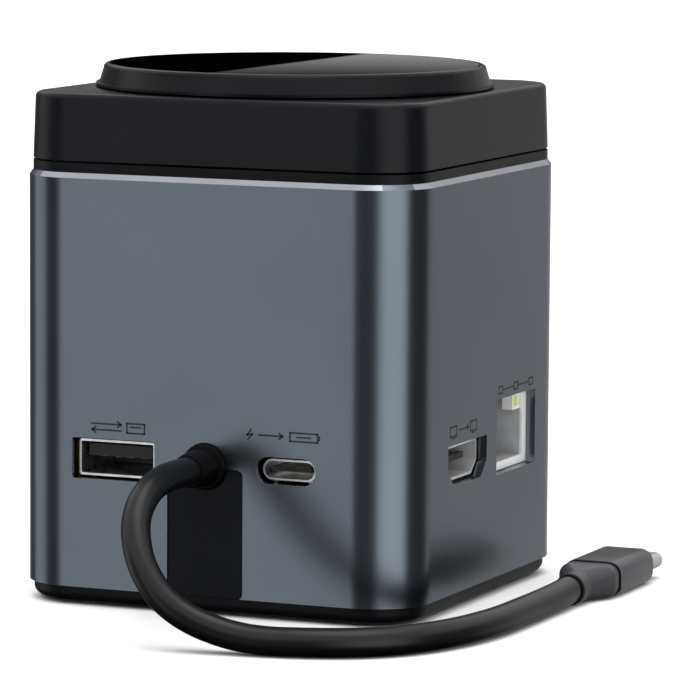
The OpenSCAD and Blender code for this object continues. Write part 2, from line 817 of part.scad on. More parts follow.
// Window of the link light, from one depth of the jack to another
module light_window(from_x, to_x) {
    roof = network_mouth_floor + network_mouth.y;
    block([from_x, network_y + light_window_y[0], roof - light_window_drop[0]],
          [to_x, network_y + light_window_y[1], roof - light_window_drop[1]]);
}

module network_light() {
    front = socket_front - network_sheet;
    color([0.75, 0.85, 0.3]) light_window(front - light_window_depth, front - light_window_recess);
}

// ---- lead ----

module cable_insert() {
    flange_half = slot_width / 2 - 0.3;
    color([0.1, 0.1, 0.115]) difference() {
        union() {
            inward_from_back(sleeve_half - insert_recess, sleeve_wall - insert_recess)
                intersection() {
                    cable_slot_outline(insert_play);
                    translate([-slot_width / 2, base_height]) square([slot_width, slot_top]);
                }
            // flange behind the sleeve that keeps the insert in its slot
            block([-flange_half, -wall_face + 0.05, base_height + 0.1],
                  [flange_half, -wall_face + insert_flange_depth, insert_flange_top]);
            // web between the two
            block([-flange_half, -wall_face - 0.1, base_height + 0.2],
                  [flange_half, -wall_face + 0.2, insert_flange_top]);
        }
        inward_from_back(sleeve_half + cut, sleeve_wall + 2 * cut)
            translate([0, port_height]) circle(r = gland_radius + gland_play);
    }
}

// Gland in the wall and the tapered strain relief in front of it
module cable_collar() {
    gland_front = -sleeve_half - gland_proud;
    gland_back = -wall_face + 0.3;
    color([0.07, 0.07, 0.075]) translate([0, 0, port_height]) rotate([-90, 0, 0]) {
        bar(gland_radius, gland_front, gland_back);
        bar(gland_radius + gland_flange[0], gland_back - hair, gland_back + gland_flange[1]);
        translate([0, 0, relief_end])
            cylinder(r1 = relief_end_radius, r2 = relief_start_radius,
                     h = gland_front - relief_end + hair);
    }
}

// Smooth curve through the route points, one leg at a time
function on_leg(a, b, c, d, t) =
    0.5 * ((2 * b) + (c - a) * t + (2 * a - 5 * b + 4 * c - d) * t * t
           + (3 * b - a - 3 * c + d) * t * t * t);
function lead_points(p) = concat(
    [for (leg = [0:len(p) - 2], step = [0:spans_per_leg - 1])
        on_leg(leg == 0 ? 2 * p[0] - p[1] : p[leg - 1], p[leg], p[leg + 1],
               leg == len(p) - 2 ? 2 * p[leg + 1] - p[leg] : p[leg + 2], step / spans_per_leg)],
    [p[len(p) - 1]]);
function unit(v) = v / norm(v);
function heading(p, i) = i == 0 || i == len(p) - 1 ? [0, i == 0 ? -1 : 1, 0]
                                                   : unit(p[i + 1] - p[i - 1]);
// Each ring keeps the last ring's side direction, so the tube doesn't twist
function side_of(p, i, last) = unit(last - (last * heading(p, i)) * heading(p, i));
function ring_sides(p, i = 0, last = [1, 0, 0], found = []) =
    i == len(p) ? found
                : ring_sides(p, i + 1, side_of(p, i, last), concat(found, [side_of(p, i, last)]));

module lead() {
    middle = lead_points(lead_route);
    across = ring_sides(middle);
    count = len(middle);
    points = [for (i = [0:count - 1], s = [0:tube_sides - 1])
        let (u = across[i], v = cross(heading(middle, i), u), turn = 360 * s / tube_sides)
        middle[i] + lead_radius * (cos(turn) * u + sin(turn) * v)];
    skin = [for (i = [0:count - 2], s = [0:tube_sides - 1])
        [i * tube_sides + s, i * tube_sides + (s + 1) % tube_sides,
         (i + 1) * tube_sides + (s + 1) % tube_sides, (i + 1) * tube_sides + s]];
    start = [[for (s = [0:tube_sides - 1]) tube_sides - 1 - s]];
    finish = [[for (s = [0:tube_sides - 1]) (count - 1) * tube_sides + s]];
    color([0.11, 0.11, 0.115]) polyhedron(points = points, faces = concat(start, skin, finish),
                                          convexity = 8);
}

module plug_rings() {
    color([0.02, 0.02, 0.02]) {
        translate([plug_x, neck_start, plug_axis]) rotate([-90, 0, 0])
            cylinder(r = lead_radius + 0.15, h = ring_width);
        translate([plug_x, neck_end - ring_width, 0]) plug_section(ring_inset, ring_width);
    }
}

// Flat rounded section of the plug, drawn back by inset all round, running along +Y
module plug_section(inset, length) {
    translate([0, 0, plug_centre]) rotate([-90, 0, 0]) linear_extrude(height = length)
        rounded_plate([plug_width - 2 * inset, plug_height - 2 * inset], plug_round - inset);
}

// Moulded neck that swells from the round lead to the flat housing
module plug_neck() {
    first = neck_start + ring_width;
    last = neck_end - ring_width;
    color([0.25, 0.25, 0.26]) hull() {
        translate([plug_x, first, plug_axis]) rotate([-90, 0, 0])
            cylinder(r = lead_radius + 0.3, h = neck_collar, $fn = 32);
        translate([plug_x, last - 0.6, plug_centre]) rotate([-90, 0, 0])
            linear_extrude(height = 0.6)
                rounded_plate([plug_width - 0.3, plug_height - 0.3], plug_round - 0.15, $fn = 32);
    }
}

module plug_housing() {
    color([0.36, 0.37, 0.39]) translate([plug_x, neck_end, 0]) difference() {
        plug_section(0, housing_end - neck_end);
        translate([0, housing_end - neck_end - tip_root, plug_centre]) rotate([-90, 0, 0])
            linear_extrude(height = tip_root + cut) oval(tip);
    }
}

module plug_shell() {
    color([0.72, 0.72, 0.73])
        translate([plug_x, housing_end - tip_root, plug_centre]) rotate([-90, 0, 0]) difference() {
            linear_extrude(height = shell_end - housing_end + tip_root) oval(tip);
            translate([0, 0, tip_root - cut]) linear_extrude(height = shell_end)
                oval([tip.x - 2 * tip_wall, tip.y - 2 * tip_wall]);
        }
}

module plug_tongue() {
    color([0.1, 0.1, 0.1]) for (side = [-1, 1])
        translate([plug_x, (housing_end - 1 + shell_end - 0.8) / 2, plug_centre + side * 0.72])
            cube([6.2, shell_end - 0.8 - housing_end + 1, 0.36], center = true);
}

// ---- boards inside the tower ----

module stack_board(top) {
    difference() {
        storey(sleeve_corner - sleeve_wall - board_inset, top - board_thickness, top);
        at_corners(stack_at) bar(screw_radius + shank_play, top - board_thickness - cut, top + cut);
    }
}

module main_board() {
    color([0.04, 0.22, 0.15]) difference() {
        stack_board(main_board_top);
        block([-slot_width / 2, -sleeve_half, main_board_top - board_thickness - cut],
              [slot_width / 2, -wall_face + 3, main_board_top + cut]);
    }
}

module chip(at, size, seat) {
    translate([at.x - size.x / 2, at.y - size.y / 2, seat]) cube(size);
}

module main_board_chips() {
    color([0.07, 0.07, 0.075]) {
        chip([-6, 4], [10, 10, 1], main_board_top);
        chip([6, -10], [8, 8, 0.9], main_board_top);
        chip([-10, 20], [7, 7, 0.9], main_board_top);
        chip([-17, -5], [5, 6, 1.4], main_board_top);
        chip([-17, 5], [4, 5, 1], main_board_top);
        chip([10, 24], [6, 3, 1.2], main_board_top);
    }
}

module network_transformer() {
    color([0.1, 0.1, 0.1]) chip([8, network_y], [7, 16, 5.5], main_board_top);
}

// Header and socket that join the two boards, with their double row of pins
module board_link() {
    half = [5, 22, 8.5];
    pitch = 2.54;
    pin = [0.6, 0.6, 4];
    color([0.12, 0.12, 0.12]) {
        chip([-24, 0], half, main_board_top);
        chip([-24, 0], half, power_board_top - board_thickness - half.z);
        for (row = [-1, 1], place = [-3.5:3.5])
            chip([-24 + row * pitch / 2, place * pitch], pin, main_board_top + half.z - 0.3);
    }
}

module lower_standoffs() {
    color([0.78, 0.65, 0.35]) pillars(base_height + base_boss_height, main_board_top - board_thickness);
}

module middle_standoffs() {
    color([0.78, 0.65, 0.35]) pillars(main_board_top, power_board_top - board_thickness);
}

module upper_standoffs() {
    color([0.78, 0.65, 0.35]) pillars(power_board_top, deck_top - deck_thickness);
}

module power_board() {
    color([0.04, 0.22, 0.15]) stack_board(power_board_top);
}

module power_chips() {
    color([0.07, 0.07, 0.075]) for (place = chip_places) chip(place, chip_size, power_board_top);
}

module thermal_pads() {
    color([0.55, 0.62, 0.68]) for (place = chip_places)
        chip(place, [chip_size.x, chip_size.y, thermal_pad_height], power_board_top + chip_size.z);
}

module heat_spreader() {
    seat = power_board_top + chip_size.z + thermal_pad_height;
    pitch = (spreader.x - fin.x) / (fin_count - 1);
    color([0.66, 0.67, 0.68]) {
        chip([0, 0], spreader, seat);
        for (step = [0:fin_count - 1])
            chip([(step - (fin_count - 1) / 2) * pitch, 0], fin, seat + spreader.z - hair);
    }
}

module power_coils() {
    color([0.25, 0.25, 0.26]) for (x = [-14, 0, 14]) chip([x, -22], [8, 8, 4.2], power_board_top);
}

module power_capacitors() {
    color([0.7, 0.7, 0.72]) for (x = [-20, 20], y = [-11, 0, 11])
        translate([x, y, 0]) bar(3.15, power_board_top, power_board_top + 7.7);
}

// Flat flexible ribbon from the power board up to the charging pad's well, in its connector
module pad_ribbon() {
    film = 0.3;
    color([0.75, 0.5, 0.2]) {
        chip([0, 20.15], [8, film, well_bottom - 0.2 - power_board_top], power_board_top);
        chip([0, 20.65], [8.8, 2.7, 2], power_board_top);
    }
}

body_sleeve();
base_plate();
rubber_feet();
base_screws();
top_band();
band_screws();
lid();
lid_screws();
hinge_bracket();
hinge_screws();
hinge_pin();
pad_bumpers();
pad_base();
pad_glass();
pad_board();
coil_ferrite();
charging_coil();
pad_magnets();
data_socket();
data_tongue();
data_contacts();
power_socket();
power_tongue();
power_contacts();
video_socket();
video_tongue();
video_contacts();
network_shield();
network_liner();
network_contacts();
network_light_blocks();
network_light();
cable_insert();
cable_collar();
lead();
plug_rings();
plug_neck();
plug_housing();
plug_shell();
plug_tongue();
main_board();
main_board_chips();
network_transformer();
board_link();
lower_standoffs();
middle_standoffs();
upper_standoffs();
power_board();
power_chips();
power_coils();
power_capacitors();
thermal_pads();
heat_spreader();
pad_ribbon();
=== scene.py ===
# %% [markdown]
# # A laptop docking station, dressed for its portrait
# The dock is a square aluminium tower with sockets on two faces, a captive lead, and a round
# charging pad on the lid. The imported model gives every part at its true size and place. This
# notebook adds the finishes, and remodels the pieces whose small edges decide how they catch
# the light. Lengths are metres, Z is up, and -Y is the face that the lead comes out of.

# %% Load the measured frame
import json
import math
import bmesh
import bpy
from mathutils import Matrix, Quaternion, Vector


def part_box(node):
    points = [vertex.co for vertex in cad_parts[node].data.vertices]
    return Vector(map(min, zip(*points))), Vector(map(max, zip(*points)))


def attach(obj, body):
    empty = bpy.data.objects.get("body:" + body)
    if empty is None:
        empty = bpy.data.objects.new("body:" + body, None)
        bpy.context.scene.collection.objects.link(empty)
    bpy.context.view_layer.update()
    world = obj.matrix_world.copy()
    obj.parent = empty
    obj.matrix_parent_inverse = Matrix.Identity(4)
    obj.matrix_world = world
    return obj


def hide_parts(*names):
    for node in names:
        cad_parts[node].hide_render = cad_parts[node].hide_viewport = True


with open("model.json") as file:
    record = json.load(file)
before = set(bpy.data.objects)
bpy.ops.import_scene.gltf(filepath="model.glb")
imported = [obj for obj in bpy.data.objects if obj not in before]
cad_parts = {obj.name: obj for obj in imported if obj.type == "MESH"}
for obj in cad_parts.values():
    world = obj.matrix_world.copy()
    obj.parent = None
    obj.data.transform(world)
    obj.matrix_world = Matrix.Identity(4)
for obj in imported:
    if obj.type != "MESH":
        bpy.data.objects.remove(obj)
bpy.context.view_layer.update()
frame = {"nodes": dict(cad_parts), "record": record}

nodes = frame["nodes"]
mm = 0.001

# %% [markdown]
# ## The camera
# A long lens keeps the tower's sides nearly parallel. The camera stands a little above the
# lid, to the right of the middle of the -Y face, so that both faces with sockets show. Its
# place and its two angles say all of that, with no target object to keep in step.

# %% Camera
eye = Vector((0.3140, -0.7132, 0.1311))
turn_left, look_down = math.radians(23.102), math.radians(6.824)
roll = math.radians(0.375)          # the camera leans a little
lens_mm = 252.4

camera_data = bpy.data.cameras.new("portrait_lens")
camera_data.lens = lens_mm
camera = bpy.data.objects.new("portrait_camera", camera_data)
bpy.context.scene.collection.objects.link(camera)
camera.location = eye
gaze = Vector((-math.sin(turn_left) * math.cos(look_down),
               math.cos(turn_left) * math.cos(look_down), -math.sin(look_down)))
upright = gaze.to_track_quat("-Z", "Y")
camera.rotation_euler = (upright @ Quaternion((0, 0, 1), roll)).to_euler()
bpy.context.scene.camera = camera
print("camera stands", round(eye.length, 3), "m from the foot of the tower")

# %% [markdown]
# ## The lead
# The lead is a soft 4.5 mm cable, moulded into the tower at one end and into an oval plug at
# the other. It leaves the relief straight, falls in one bend to the desk, and curls round the
# near corner. A curve with a round bevel is the right tool: its route is a few listed points,
# and its thickness never varies. Each handle is a sixth of the way between the neighbouring
# points, which makes the same smooth line as the imported lead.

# %% Route of the lead
lead_radius = 2.25 * mm
lie = 2.27 * mm
lead_route = [Vector(p) for p in (
    (0, -0.040, 0.0234), (0, -0.044, 0.0235), (-0.0002, -0.048, 0.0233),
    (-0.0004, -0.052, 0.0224), (-0.0004, -0.0556, 0.0205), (0.0001, -0.0584, 0.0181),
    (0.0012, -0.0605, 0.0154), (0.0027, -0.062, 0.0127), (0.0047, -0.0629, 0.010),
    (0.0071, -0.0632, 0.0076), (0.0101, -0.0629, 0.0055), (0.0139, -0.0622, 0.0038),
    (0.0182, -0.0615, 0.0027), (0.0227, -0.0608, lie), (0.0276, -0.0597, lie),
    (0.0325, -0.0578, lie), (0.0369, -0.0551, lie), (0.0406, -0.0513, lie),
    (0.0434, -0.0464, lie), (0.0454, -0.0409, lie), (0.0466, -0.0352, lie),
    (0.0473, -0.0292, lie), (0.0475, -0.022, lie), (0.0476, -0.0145, lie),
    (0.0477, -0.007, 0.00237), (0.0477, -0.001, 0.00255))]


def smooth_curve(name, points, radius):
    """A round cable through the points, as one open spline."""
    data = bpy.data.curves.new(name, "CURVE")
    data.dimensions = "3D"
    data.bevel_depth = radius
    data.bevel_resolution = 9
    data.resolution_u = 8
    data.use_fill_caps = True
    spline = data.splines.new("BEZIER")
    spline.bezier_points.add(len(points) - 1)
    last = len(points) - 1
    for i, (knot, here) in enumerate(zip(spline.bezier_points, points)):
        before = points[i - 1] if i else 2 * here - points[1]
        after = points[i + 1] if i < last else 2 * here - points[last - 1]
        knot.co = here
        knot.handle_left = here - (after - before) / 6
        knot.handle_right = here + (after - before) / 6
    piece = bpy.data.objects.new(name, data)
    bpy.context.scene.collection.objects.link(piece)
    return piece


lead = smooth_curve("lead_cable", lead_route, lead_radius - 0.03 * mm)

# %% [markdown]
# ## Effects that the finishes share
# No real surface has one flat colour. Three small node groups give every finish its own
# variation: a slow drift in tone, a slow drift in gloss where hands and cloths have been, and
# a fine grain that the material turns into bumps. A group hands out only a colour, a number or
# a height, so each material keeps its own shader and its own constants.

# %% Shared node groups
def new_group(name, inputs, output, output_type):
    """An empty shader group with its inputs, one output, and its two end nodes."""
    group = bpy.data.node_groups.new(name, "ShaderNodeTree")
    for socket_name, socket_type in inputs:
        group.interface.new_socket(socket_name, in_out="INPUT", socket_type=socket_type)
    group.interface.new_socket(output, in_out="OUTPUT", socket_type=output_type)
    return group, group.nodes.new("NodeGroupInput"), group.nodes.new("NodeGroupOutput")


def object_noise(tree, size, detail):
    """Noise that is fixed to the piece; size is the socket with the grains' size in metres."""
    place = tree.nodes.new("ShaderNodeTexCoord")
    invert = tree.nodes.new("ShaderNodeMath")
    invert.operation = "DIVIDE"
    invert.inputs[0].default_value = 1
    noise = tree.nodes.new("ShaderNodeTexNoise")
    noise.inputs["Detail"].default_value = detail
    tree.links.new(place.outputs["Object"], noise.inputs["Vector"])
    tree.links.new(size, invert.inputs[1])
    tree.links.new(invert.outputs[0], noise.inputs["Scale"])
    return noise.outputs["Fac"]


def drift_range(tree, noise, amount):
    """Noise turned into a factor that runs from 1 - amount to 1 + amount."""
    low = tree.nodes.new("ShaderNodeMath")
    low.operation = "SUBTRACT"
    low.inputs[0].default_value = 1
    high = tree.nodes.new("ShaderNodeMath")
    high.inputs[0].default_value = 1
    spread = tree.nodes.new("ShaderNodeMapRange")
    spread.interpolation_type = "SMOOTHSTEP"
    spread.inputs["From Min"].default_value = 0.3
    spread.inputs["From Max"].default_value = 0.7
    tree.links.new(amount, low.inputs[1])
    tree.links.new(amount, high.inputs[1])
    tree.links.new(noise, spread.inputs["Value"])
    tree.links.new(low.outputs[0], spread.inputs["To Min"])
    tree.links.new(high.outputs[0], spread.inputs["To Max"])
    return spread.outputs["Result"]


def make_tone_drift():
    group, start, end = new_group(
        "tone_drift", [("Color", "NodeSocketColor"), ("Amount", "NodeSocketFloat"),
                       ("Size", "NodeSocketFloat")], "Color", "NodeSocketColor")
    factor = drift_range(group, object_noise(group, start.outputs["Size"], 3),
                         start.outputs["Amount"])
    scale = group.nodes.new("ShaderNodeVectorMath")
    scale.operation = "SCALE"
    group.links.new(start.outputs["Color"], scale.inputs[0])
    group.links.new(factor, scale.inputs["Scale"])
    group.links.new(scale.outputs[0], end.inputs["Color"])
    return group


def make_gloss_drift():
    group, start, end = new_group(
        "gloss_drift", [("Roughness", "NodeSocketFloat"), ("Amount", "NodeSocketFloat"),
                        ("Size", "NodeSocketFloat")], "Roughness", "NodeSocketFloat")
    factor = drift_range(group, object_noise(group, start.outputs["Size"], 5),
                         start.outputs["Amount"])
    product = group.nodes.new("ShaderNodeMath")
    product.operation = "MULTIPLY"
    group.links.new(start.outputs["Roughness"], product.inputs[0])
    group.links.new(factor, product.inputs[1])
    group.links.new(product.outputs[0], end.inputs["Roughness"])
    return group


def make_fine_grain():
    group, start, end = new_group("fine_grain", [("Size", "NodeSocketFloat")],
                                  "Height", "NodeSocketFloat")
    group.links.new(object_noise(group, start.outputs["Size"], 2), end.inputs["Height"])
    return group


tone_drift, gloss_drift, fine_grain = make_tone_drift(), make_gloss_drift(), make_fine_grain()
print("shared groups:", [g.name for g in bpy.data.node_groups])

# %% [markdown]
# ## Finishes
# One recipe builds them all. It takes the plain numbers of a finish, such as colour, metal and
# gloss, sets the constants on the shader itself, and wires the three groups in with that
# finish's own sizes. Then the table below reads like a maker's finish list: blue-grey satin
# anodising for the sleeve, satin black for the lid and pad, bright drawn steel for the sockets.

# %% Recipe for a finish
def add_group(tree, group, **values):
    node = tree.nodes.new("ShaderNodeGroup")
    node.node_tree = group
    for name, value in values.items():
        node.inputs[name].default_value = value
    return node


def finish(name, color, roughness, metallic=0.0, tone=0.06, tone_size=0.012, gloss=0.1,
           gloss_size=0.02, grain=0.0002, depth=0.04, **constants):
    """A material with its own tone drift, gloss drift and fine grain."""
    material = bpy.data.materials.new(name)
    material.use_nodes = True
    tree = material.node_tree
    shader = tree.nodes["Principled BSDF"]
    shader.inputs["Metallic"].default_value = metallic
    for socket, value in constants.items():
        shader.inputs[socket.replace("_", " ")].default_value = value
    colour = add_group(tree, tone_drift, Color=(*color, 1), Amount=tone, Size=tone_size)
    polish = add_group(tree, gloss_drift, Roughness=roughness, Amount=gloss, Size=gloss_size)
    height = add_group(tree, fine_grain, Size=grain)
    bump = tree.nodes.new("ShaderNodeBump")
    bump.inputs["Strength"].default_value = depth
    bump.inputs["Distance"].default_value = grain
    tree.links.new(colour.outputs["Color"], shader.inputs["Base Color"])
    tree.links.new(polish.outputs["Roughness"], shader.inputs["Roughness"])
    tree.links.new(height.outputs["Height"], bump.inputs["Height"])
    tree.links.new(bump.outputs["Normal"], shader.inputs["Normal"])
    return material


# %% The finish list
finishes = {
    "anodised_sleeve": finish("satin_anodised_sleeve", (0.152, 0.176, 0.205), 0.22, 1.0,
                              tone=0.03, tone_size=0.03, gloss=0.05, grain=0.00016,
                              depth=0.05),
    "black_plastic": finish("fine_black_moulding", (0.0028, 0.0032, 0.004), 0.36,
                            Specular_IOR_Level=0.14, grain=0.00025, depth=0.12),
    "black_rubber": finish("foot_rubber", (0.003, 0.003, 0.003), 0.6, grain=0.0003, depth=0.2,
                           Specular_IOR_Level=0.1),
    "screw_steel": finish("zinc_screw_steel", (0.52, 0.52, 0.54), 0.3, 1.0, tone=0.1,
                          gloss=0.25, gloss_size=0.001),
    "satin_lid": finish("satin_black_lid", (0.0032, 0.0038, 0.0055), 0.3,
                        Specular_IOR_Level=0.19, tone=0.04, grain=0.0002, depth=0.05),
    "hinge_steel": finish("black_hinge_steel", (0.03, 0.03, 0.032), 0.35, 0.6),
    "pad_glass": finish("black_backed_glass", (0.0004, 0.0004, 0.0005), 0.004, gloss=0.2,
                        gloss_size=0.03, depth=0.0, Specular_IOR_Level=0.5),
    "circuit_board": finish("board_green", (0.012, 0.13, 0.06), 0.35, tone=0.2,
                            tone_size=0.002),
    "ferrite": finish("sintered_ferrite", (0.04, 0.04, 0.045), 0.6, depth=0.2),
    "copper": finish("enamelled_copper", (0.72, 0.32, 0.14), 0.25, 1.0, tone=0.12,
                     tone_size=0.003),
    "magnet": finish("nickel_magnet", (0.6, 0.58, 0.54), 0.2, 1.0),
    "socket_steel": finish("drawn_socket_steel", (0.86, 0.86, 0.87), 0.3, 1.0, tone=0.08,
                           tone_size=0.004, gloss=0.2, gloss_size=0.002, grain=0.0001),
    "socket_plastic": finish("socket_moulding", (0.012, 0.012, 0.013), 0.4, depth=0.1),
    "gold_contact": finish("gold_flash", (0.4, 0.34, 0.2), 0.3, 1.0, tone=0.1,
                           tone_size=0.001),
    "jack_liner": finish("grey_jack_lining", (0.5, 0.51, 0.52), 0.4, 0.2, tone=0.1,
                         tone_size=0.004),
    "light_block": finish("milky_light_guide", (0.82, 0.82, 0.79), 0.3, tone=0.04),
    "light_window": finish("link_light_window", (0.58, 0.72, 0.1), 0.25, tone=0.08,
                           tone_size=0.001),
    "insert_plastic": finish("smooth_black_insert", (0.0045, 0.0052, 0.0075), 0.3,
                             Specular_IOR_Level=0.07, tone=0.05),
    "lead_rubber": finish("lead_jacket", (0.0022, 0.0025, 0.0028), 0.3,
                          Specular_IOR_Level=0.4, grain=0.00022, depth=0.08),
    "neck_plastic": finish("soft_grey_neck", (0.045, 0.047, 0.05), 0.36,
                           Specular_IOR_Level=0.4, depth=0.1),
    "plug_metal": finish("anodised_plug", (0.125, 0.134, 0.146), 0.28, 1.0, tone=0.03),
    "chip_black": finish("chip_epoxy", (0.016, 0.016, 0.017), 0.5, depth=0.15),
    "brass": finish("turned_brass", (0.75, 0.56, 0.26), 0.28, 1.0, tone=0.08),
    "capacitor_can": finish("capacitor_aluminium", (0.66, 0.66, 0.68), 0.25, 1.0),
    "thermal_pad": finish("thermal_silicone", (0.34, 0.44, 0.54), 0.7, depth=0.2),
    "spreader_aluminium": finish("extruded_spreader", (0.66, 0.66, 0.67), 0.38, 1.0),
    "ribbon_film": finish("amber_ribbon_film", (0.5, 0.25, 0.05), 0.25, tone=0.12,
                          tone_size=0.002),
}
# Finishes that only one piece has, or only its edges
cut_edge = finish("bright_cut_edge", (0.40, 0.42, 0.455), 0.3, 1.0, tone=0.05, tone_size=0.01)
gland_black = finish("matt_gland_rubber", (0.0012, 0.0013, 0.0015), 0.42,
                     Specular_IOR_Level=0.14, grain=0.00022, depth=0.08)
print_grey = finish("printed_marks", (0.012, 0.014, 0.017), 0.5, tone=0.08, tone_size=0.0006)
mark_white = finish("pad_mark_print", (0.75, 0.77, 0.78), 0.45, tone=0.04)
tinned_shield = finish("tinned_jack_shield", (0.93, 0.93, 0.93), 0.45, 0.2, tone=0.04)
tinned_video = finish("tinned_video_shell", (0.85, 0.85, 0.86), 0.35, 0.6, tone=0.04)

for part in frame["record"]["subparts"]:
    nodes[part["node"]].data.materials[0] = finishes[part["material_slot"]]
nodes["network_shield"].data.materials[0] = tinned_shield
nodes["video_socket"].data.materials[0] = tinned_video
lead.data.materials.append(finishes["lead_rubber"])
print("finishes in the list:", len(finishes))

# %% [markdown]
# ## Working by hand, in code
# Everything below is modelled as one would in the window: add a primitive, enter edit mode,
# pick faces by where they are, inset, extrude, bevel. These helpers do the picking, because an
# operator acts on whatever is selected. The one that matters most is `climb`: it draws the
# picked face in and lifts it, one step after another, which is how an edge gets its profile.

# %% Helpers for modelling
def only(piece):
    """Selects one object and nothing else."""
    if bpy.context.mode != "OBJECT":
        bpy.ops.object.mode_set(mode="OBJECT")
    bpy.ops.object.select_all(action="DESELECT")
    piece.select_set(True)
    bpy.context.view_layer.objects.active = piece


def settle(piece):
    """Puts the object's place into its mesh, so the object itself sits at the origin."""
    only(piece)
    bpy.ops.object.transform_apply(location=True, rotation=True, scale=True)


def begin(name, primitive, **values):
    """Adds a primitive at its size and place, names it and enters edit mode."""
    bpy.ops.object.select_all(action="DESELECT")
    primitive(**values)
    piece = bpy.context.object
    piece.name = piece.data.name = name
    settle(piece)
    bpy.ops.object.mode_set(mode="EDIT")
    bpy.ops.mesh.select_all(action="SELECT")
    return piece


def pick(piece, kind, test):
    """In edit mode, picks the faces, edges or vertices whose middle passes the test."""
    bpy.ops.mesh.select_mode(type=kind)
    bpy.ops.mesh.select_all(action="DESELECT")
    mesh = bmesh.from_edit_mesh(piece.data)
    if kind == "FACE":
        parts = [(f, f.calc_center_median(), f.normal) for f in mesh.faces]
    elif kind == "EDGE":
        parts = [(e, (e.verts[0].co + e.verts[1].co) / 2, e.verts[1].co - e.verts[0].co)
                 for e in mesh.edges]
    else:
        parts = [(v, v.co, v.normal) for v in mesh.verts]
    for part, middle, direction in parts:
        if test(middle, direction):
            part.select_set(True)
    mesh.select_flush_mode()
    bmesh.update_edit_mesh(piece.data)


def pick_all_faces():
    bpy.ops.mesh.select_mode(type="FACE")
    bpy.ops.mesh.select_all(action="SELECT")


def push(move):
    """Extrudes what is picked by a vector in metres."""
    bpy.ops.mesh.extrude_region_move(TRANSFORM_OT_translate={"value": move})


def climb(steps, along=Vector((0, 0, 1))):
    """Draws the picked face in and moves it, for each (draw in, move) in millimetres."""
    for draw_in, move in steps:
        if draw_in:
            bpy.ops.mesh.inset(thickness=draw_in * mm, depth=0)
            bpy.ops.transform.translate(value=along * move * mm)
        else:
            push(along * move * mm)


def round_over(radius, parts=6):
    """Steps that round an edge inwards over a quarter circle, with a narrow flat border."""
    turn = [math.pi / 2 * k / parts for k in range(parts + 1)]
    return [(radius * (math.cos(a) - math.cos(b)), radius * (math.sin(b) - math.sin(a)))
            for a, b in zip(turn, turn[1:])] + [(radius / 3, 0)]


def end_edit(piece, smooth=30):
    """Leaves edit mode with outward faces, and smooths across the shallow edges."""
    bpy.ops.mesh.select_mode(type="VERT")
    bpy.ops.mesh.select_all(action="SELECT")
    bpy.ops.mesh.remove_doubles(threshold=1e-6)
    bpy.ops.mesh.normals_make_consistent(inside=False)
    bpy.ops.object.mode_set(mode="OBJECT")
    only(piece)
    bpy.ops.object.shade_smooth_by_angle(angle=math.radians(smooth))


def subtract(piece, cutter):
    """Cuts one closed piece out of another and throws the cutter away."""
    only(piece)
    cut = piece.modifiers.new("cut", "BOOLEAN")
    cut.operation, cut.object, cut.solver = "DIFFERENCE", cutter, "EXACT"
    bpy.ops.object.modifier_apply(modifier=cut.name)
    bpy.data.objects.remove(cutter)


sharp_from = math.radians(40)


def soften(piece, width, slot=-1):
    """Rounds the sharp edges a little; slot is the material that the rounding takes."""
    only(piece)
    edge = piece.modifiers.new("soft_edges", "BEVEL")
    edge.width, edge.segments, edge.limit_method = width * mm, 2, "ANGLE"
    edge.angle_limit = sharp_from
    edge.harden_normals, edge.material, edge.use_clamp_overlap = True, slot, True
    bpy.ops.object.modifier_apply(modifier=edge.name)


def rounded_square(name, half_x, half_y, corner, middle, segments, turn=(0, 0, 0)):
    """A flat plate with rounded corners, in edit mode with its face picked."""
    piece = begin(name, bpy.ops.mesh.primitive_plane_add, size=1, location=(0, 0, 0))
    bpy.ops.transform.resize(value=(2 * half_x * mm, 2 * half_y * mm, 1))
    bpy.ops.mesh.bevel(offset=corner * mm, segments=segments, affect="VERTICES")
    bpy.ops.mesh.select_all(action="SELECT")
    bpy.ops.mesh.remove_doubles(threshold=0.02 * mm)
    bpy.ops.object.mode_set(mode="OBJECT")
    piece.rotation_euler = turn
    piece.location = Vector(middle) * mm
    settle(piece)
    bpy.ops.object.mode_set(mode="EDIT")
    pick_all_faces()
    return piece


def dress(piece, body, slot, *replaced):
    """Gives a finished piece its finish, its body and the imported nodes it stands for."""
    if not piece.data.materials:
        piece.data.materials.append(finishes[slot])
    if replaced:
        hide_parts(*replaced)
    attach(piece, body)
    return piece


print("helpers ready")

# %% [markdown]
# ## The sleeve
# The sleeve is a length of square aluminium tube. After anodising, its top edge was cut again
# at an angle, which leaves the thin bright line round the tower, and each socket has its own
# window. It is modelled the same way: a rounded square is raised to full height, the last step
# drawn in for the bevel, then hollowed, and each window is cut with its own block.

# %% Sleeve body
sleeve_low, sleeve_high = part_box("body_sleeve")
half = sleeve_high.x / mm
base_top, sleeve_top = sleeve_low.z / mm, sleeve_high.z / mm
corner, wall, bevel_rise, bevel_in = 9.6, 1.5, 0.8, 0.6
corner_middle = half - corner
height = sleeve_top - base_top


def raise_sleeve():
    piece = rounded_square("sleeve_shell", half, half, corner, (0, 0, base_top), 28)
    climb([(0, height - bevel_rise), (bevel_in, bevel_rise), (wall - bevel_in, 0),
           (0, -height)])
    pick(piece, "FACE", lambda middle, normal: middle.z < (base_top + 0.01) * mm
         and abs(normal.z) > 0.9)
    bpy.ops.mesh.delete(type="ONLY_FACE")
    pick(piece, "EDGE", lambda middle, along: middle.z < (base_top + 0.01) * mm
         and abs(along.z) < 1e-7)
    bpy.ops.mesh.bridge_edge_loops()
    end_edit(piece)
    return piece


sleeve = raise_sleeve()
print("sleeve faces before its windows:", len(sleeve.data.polygons))

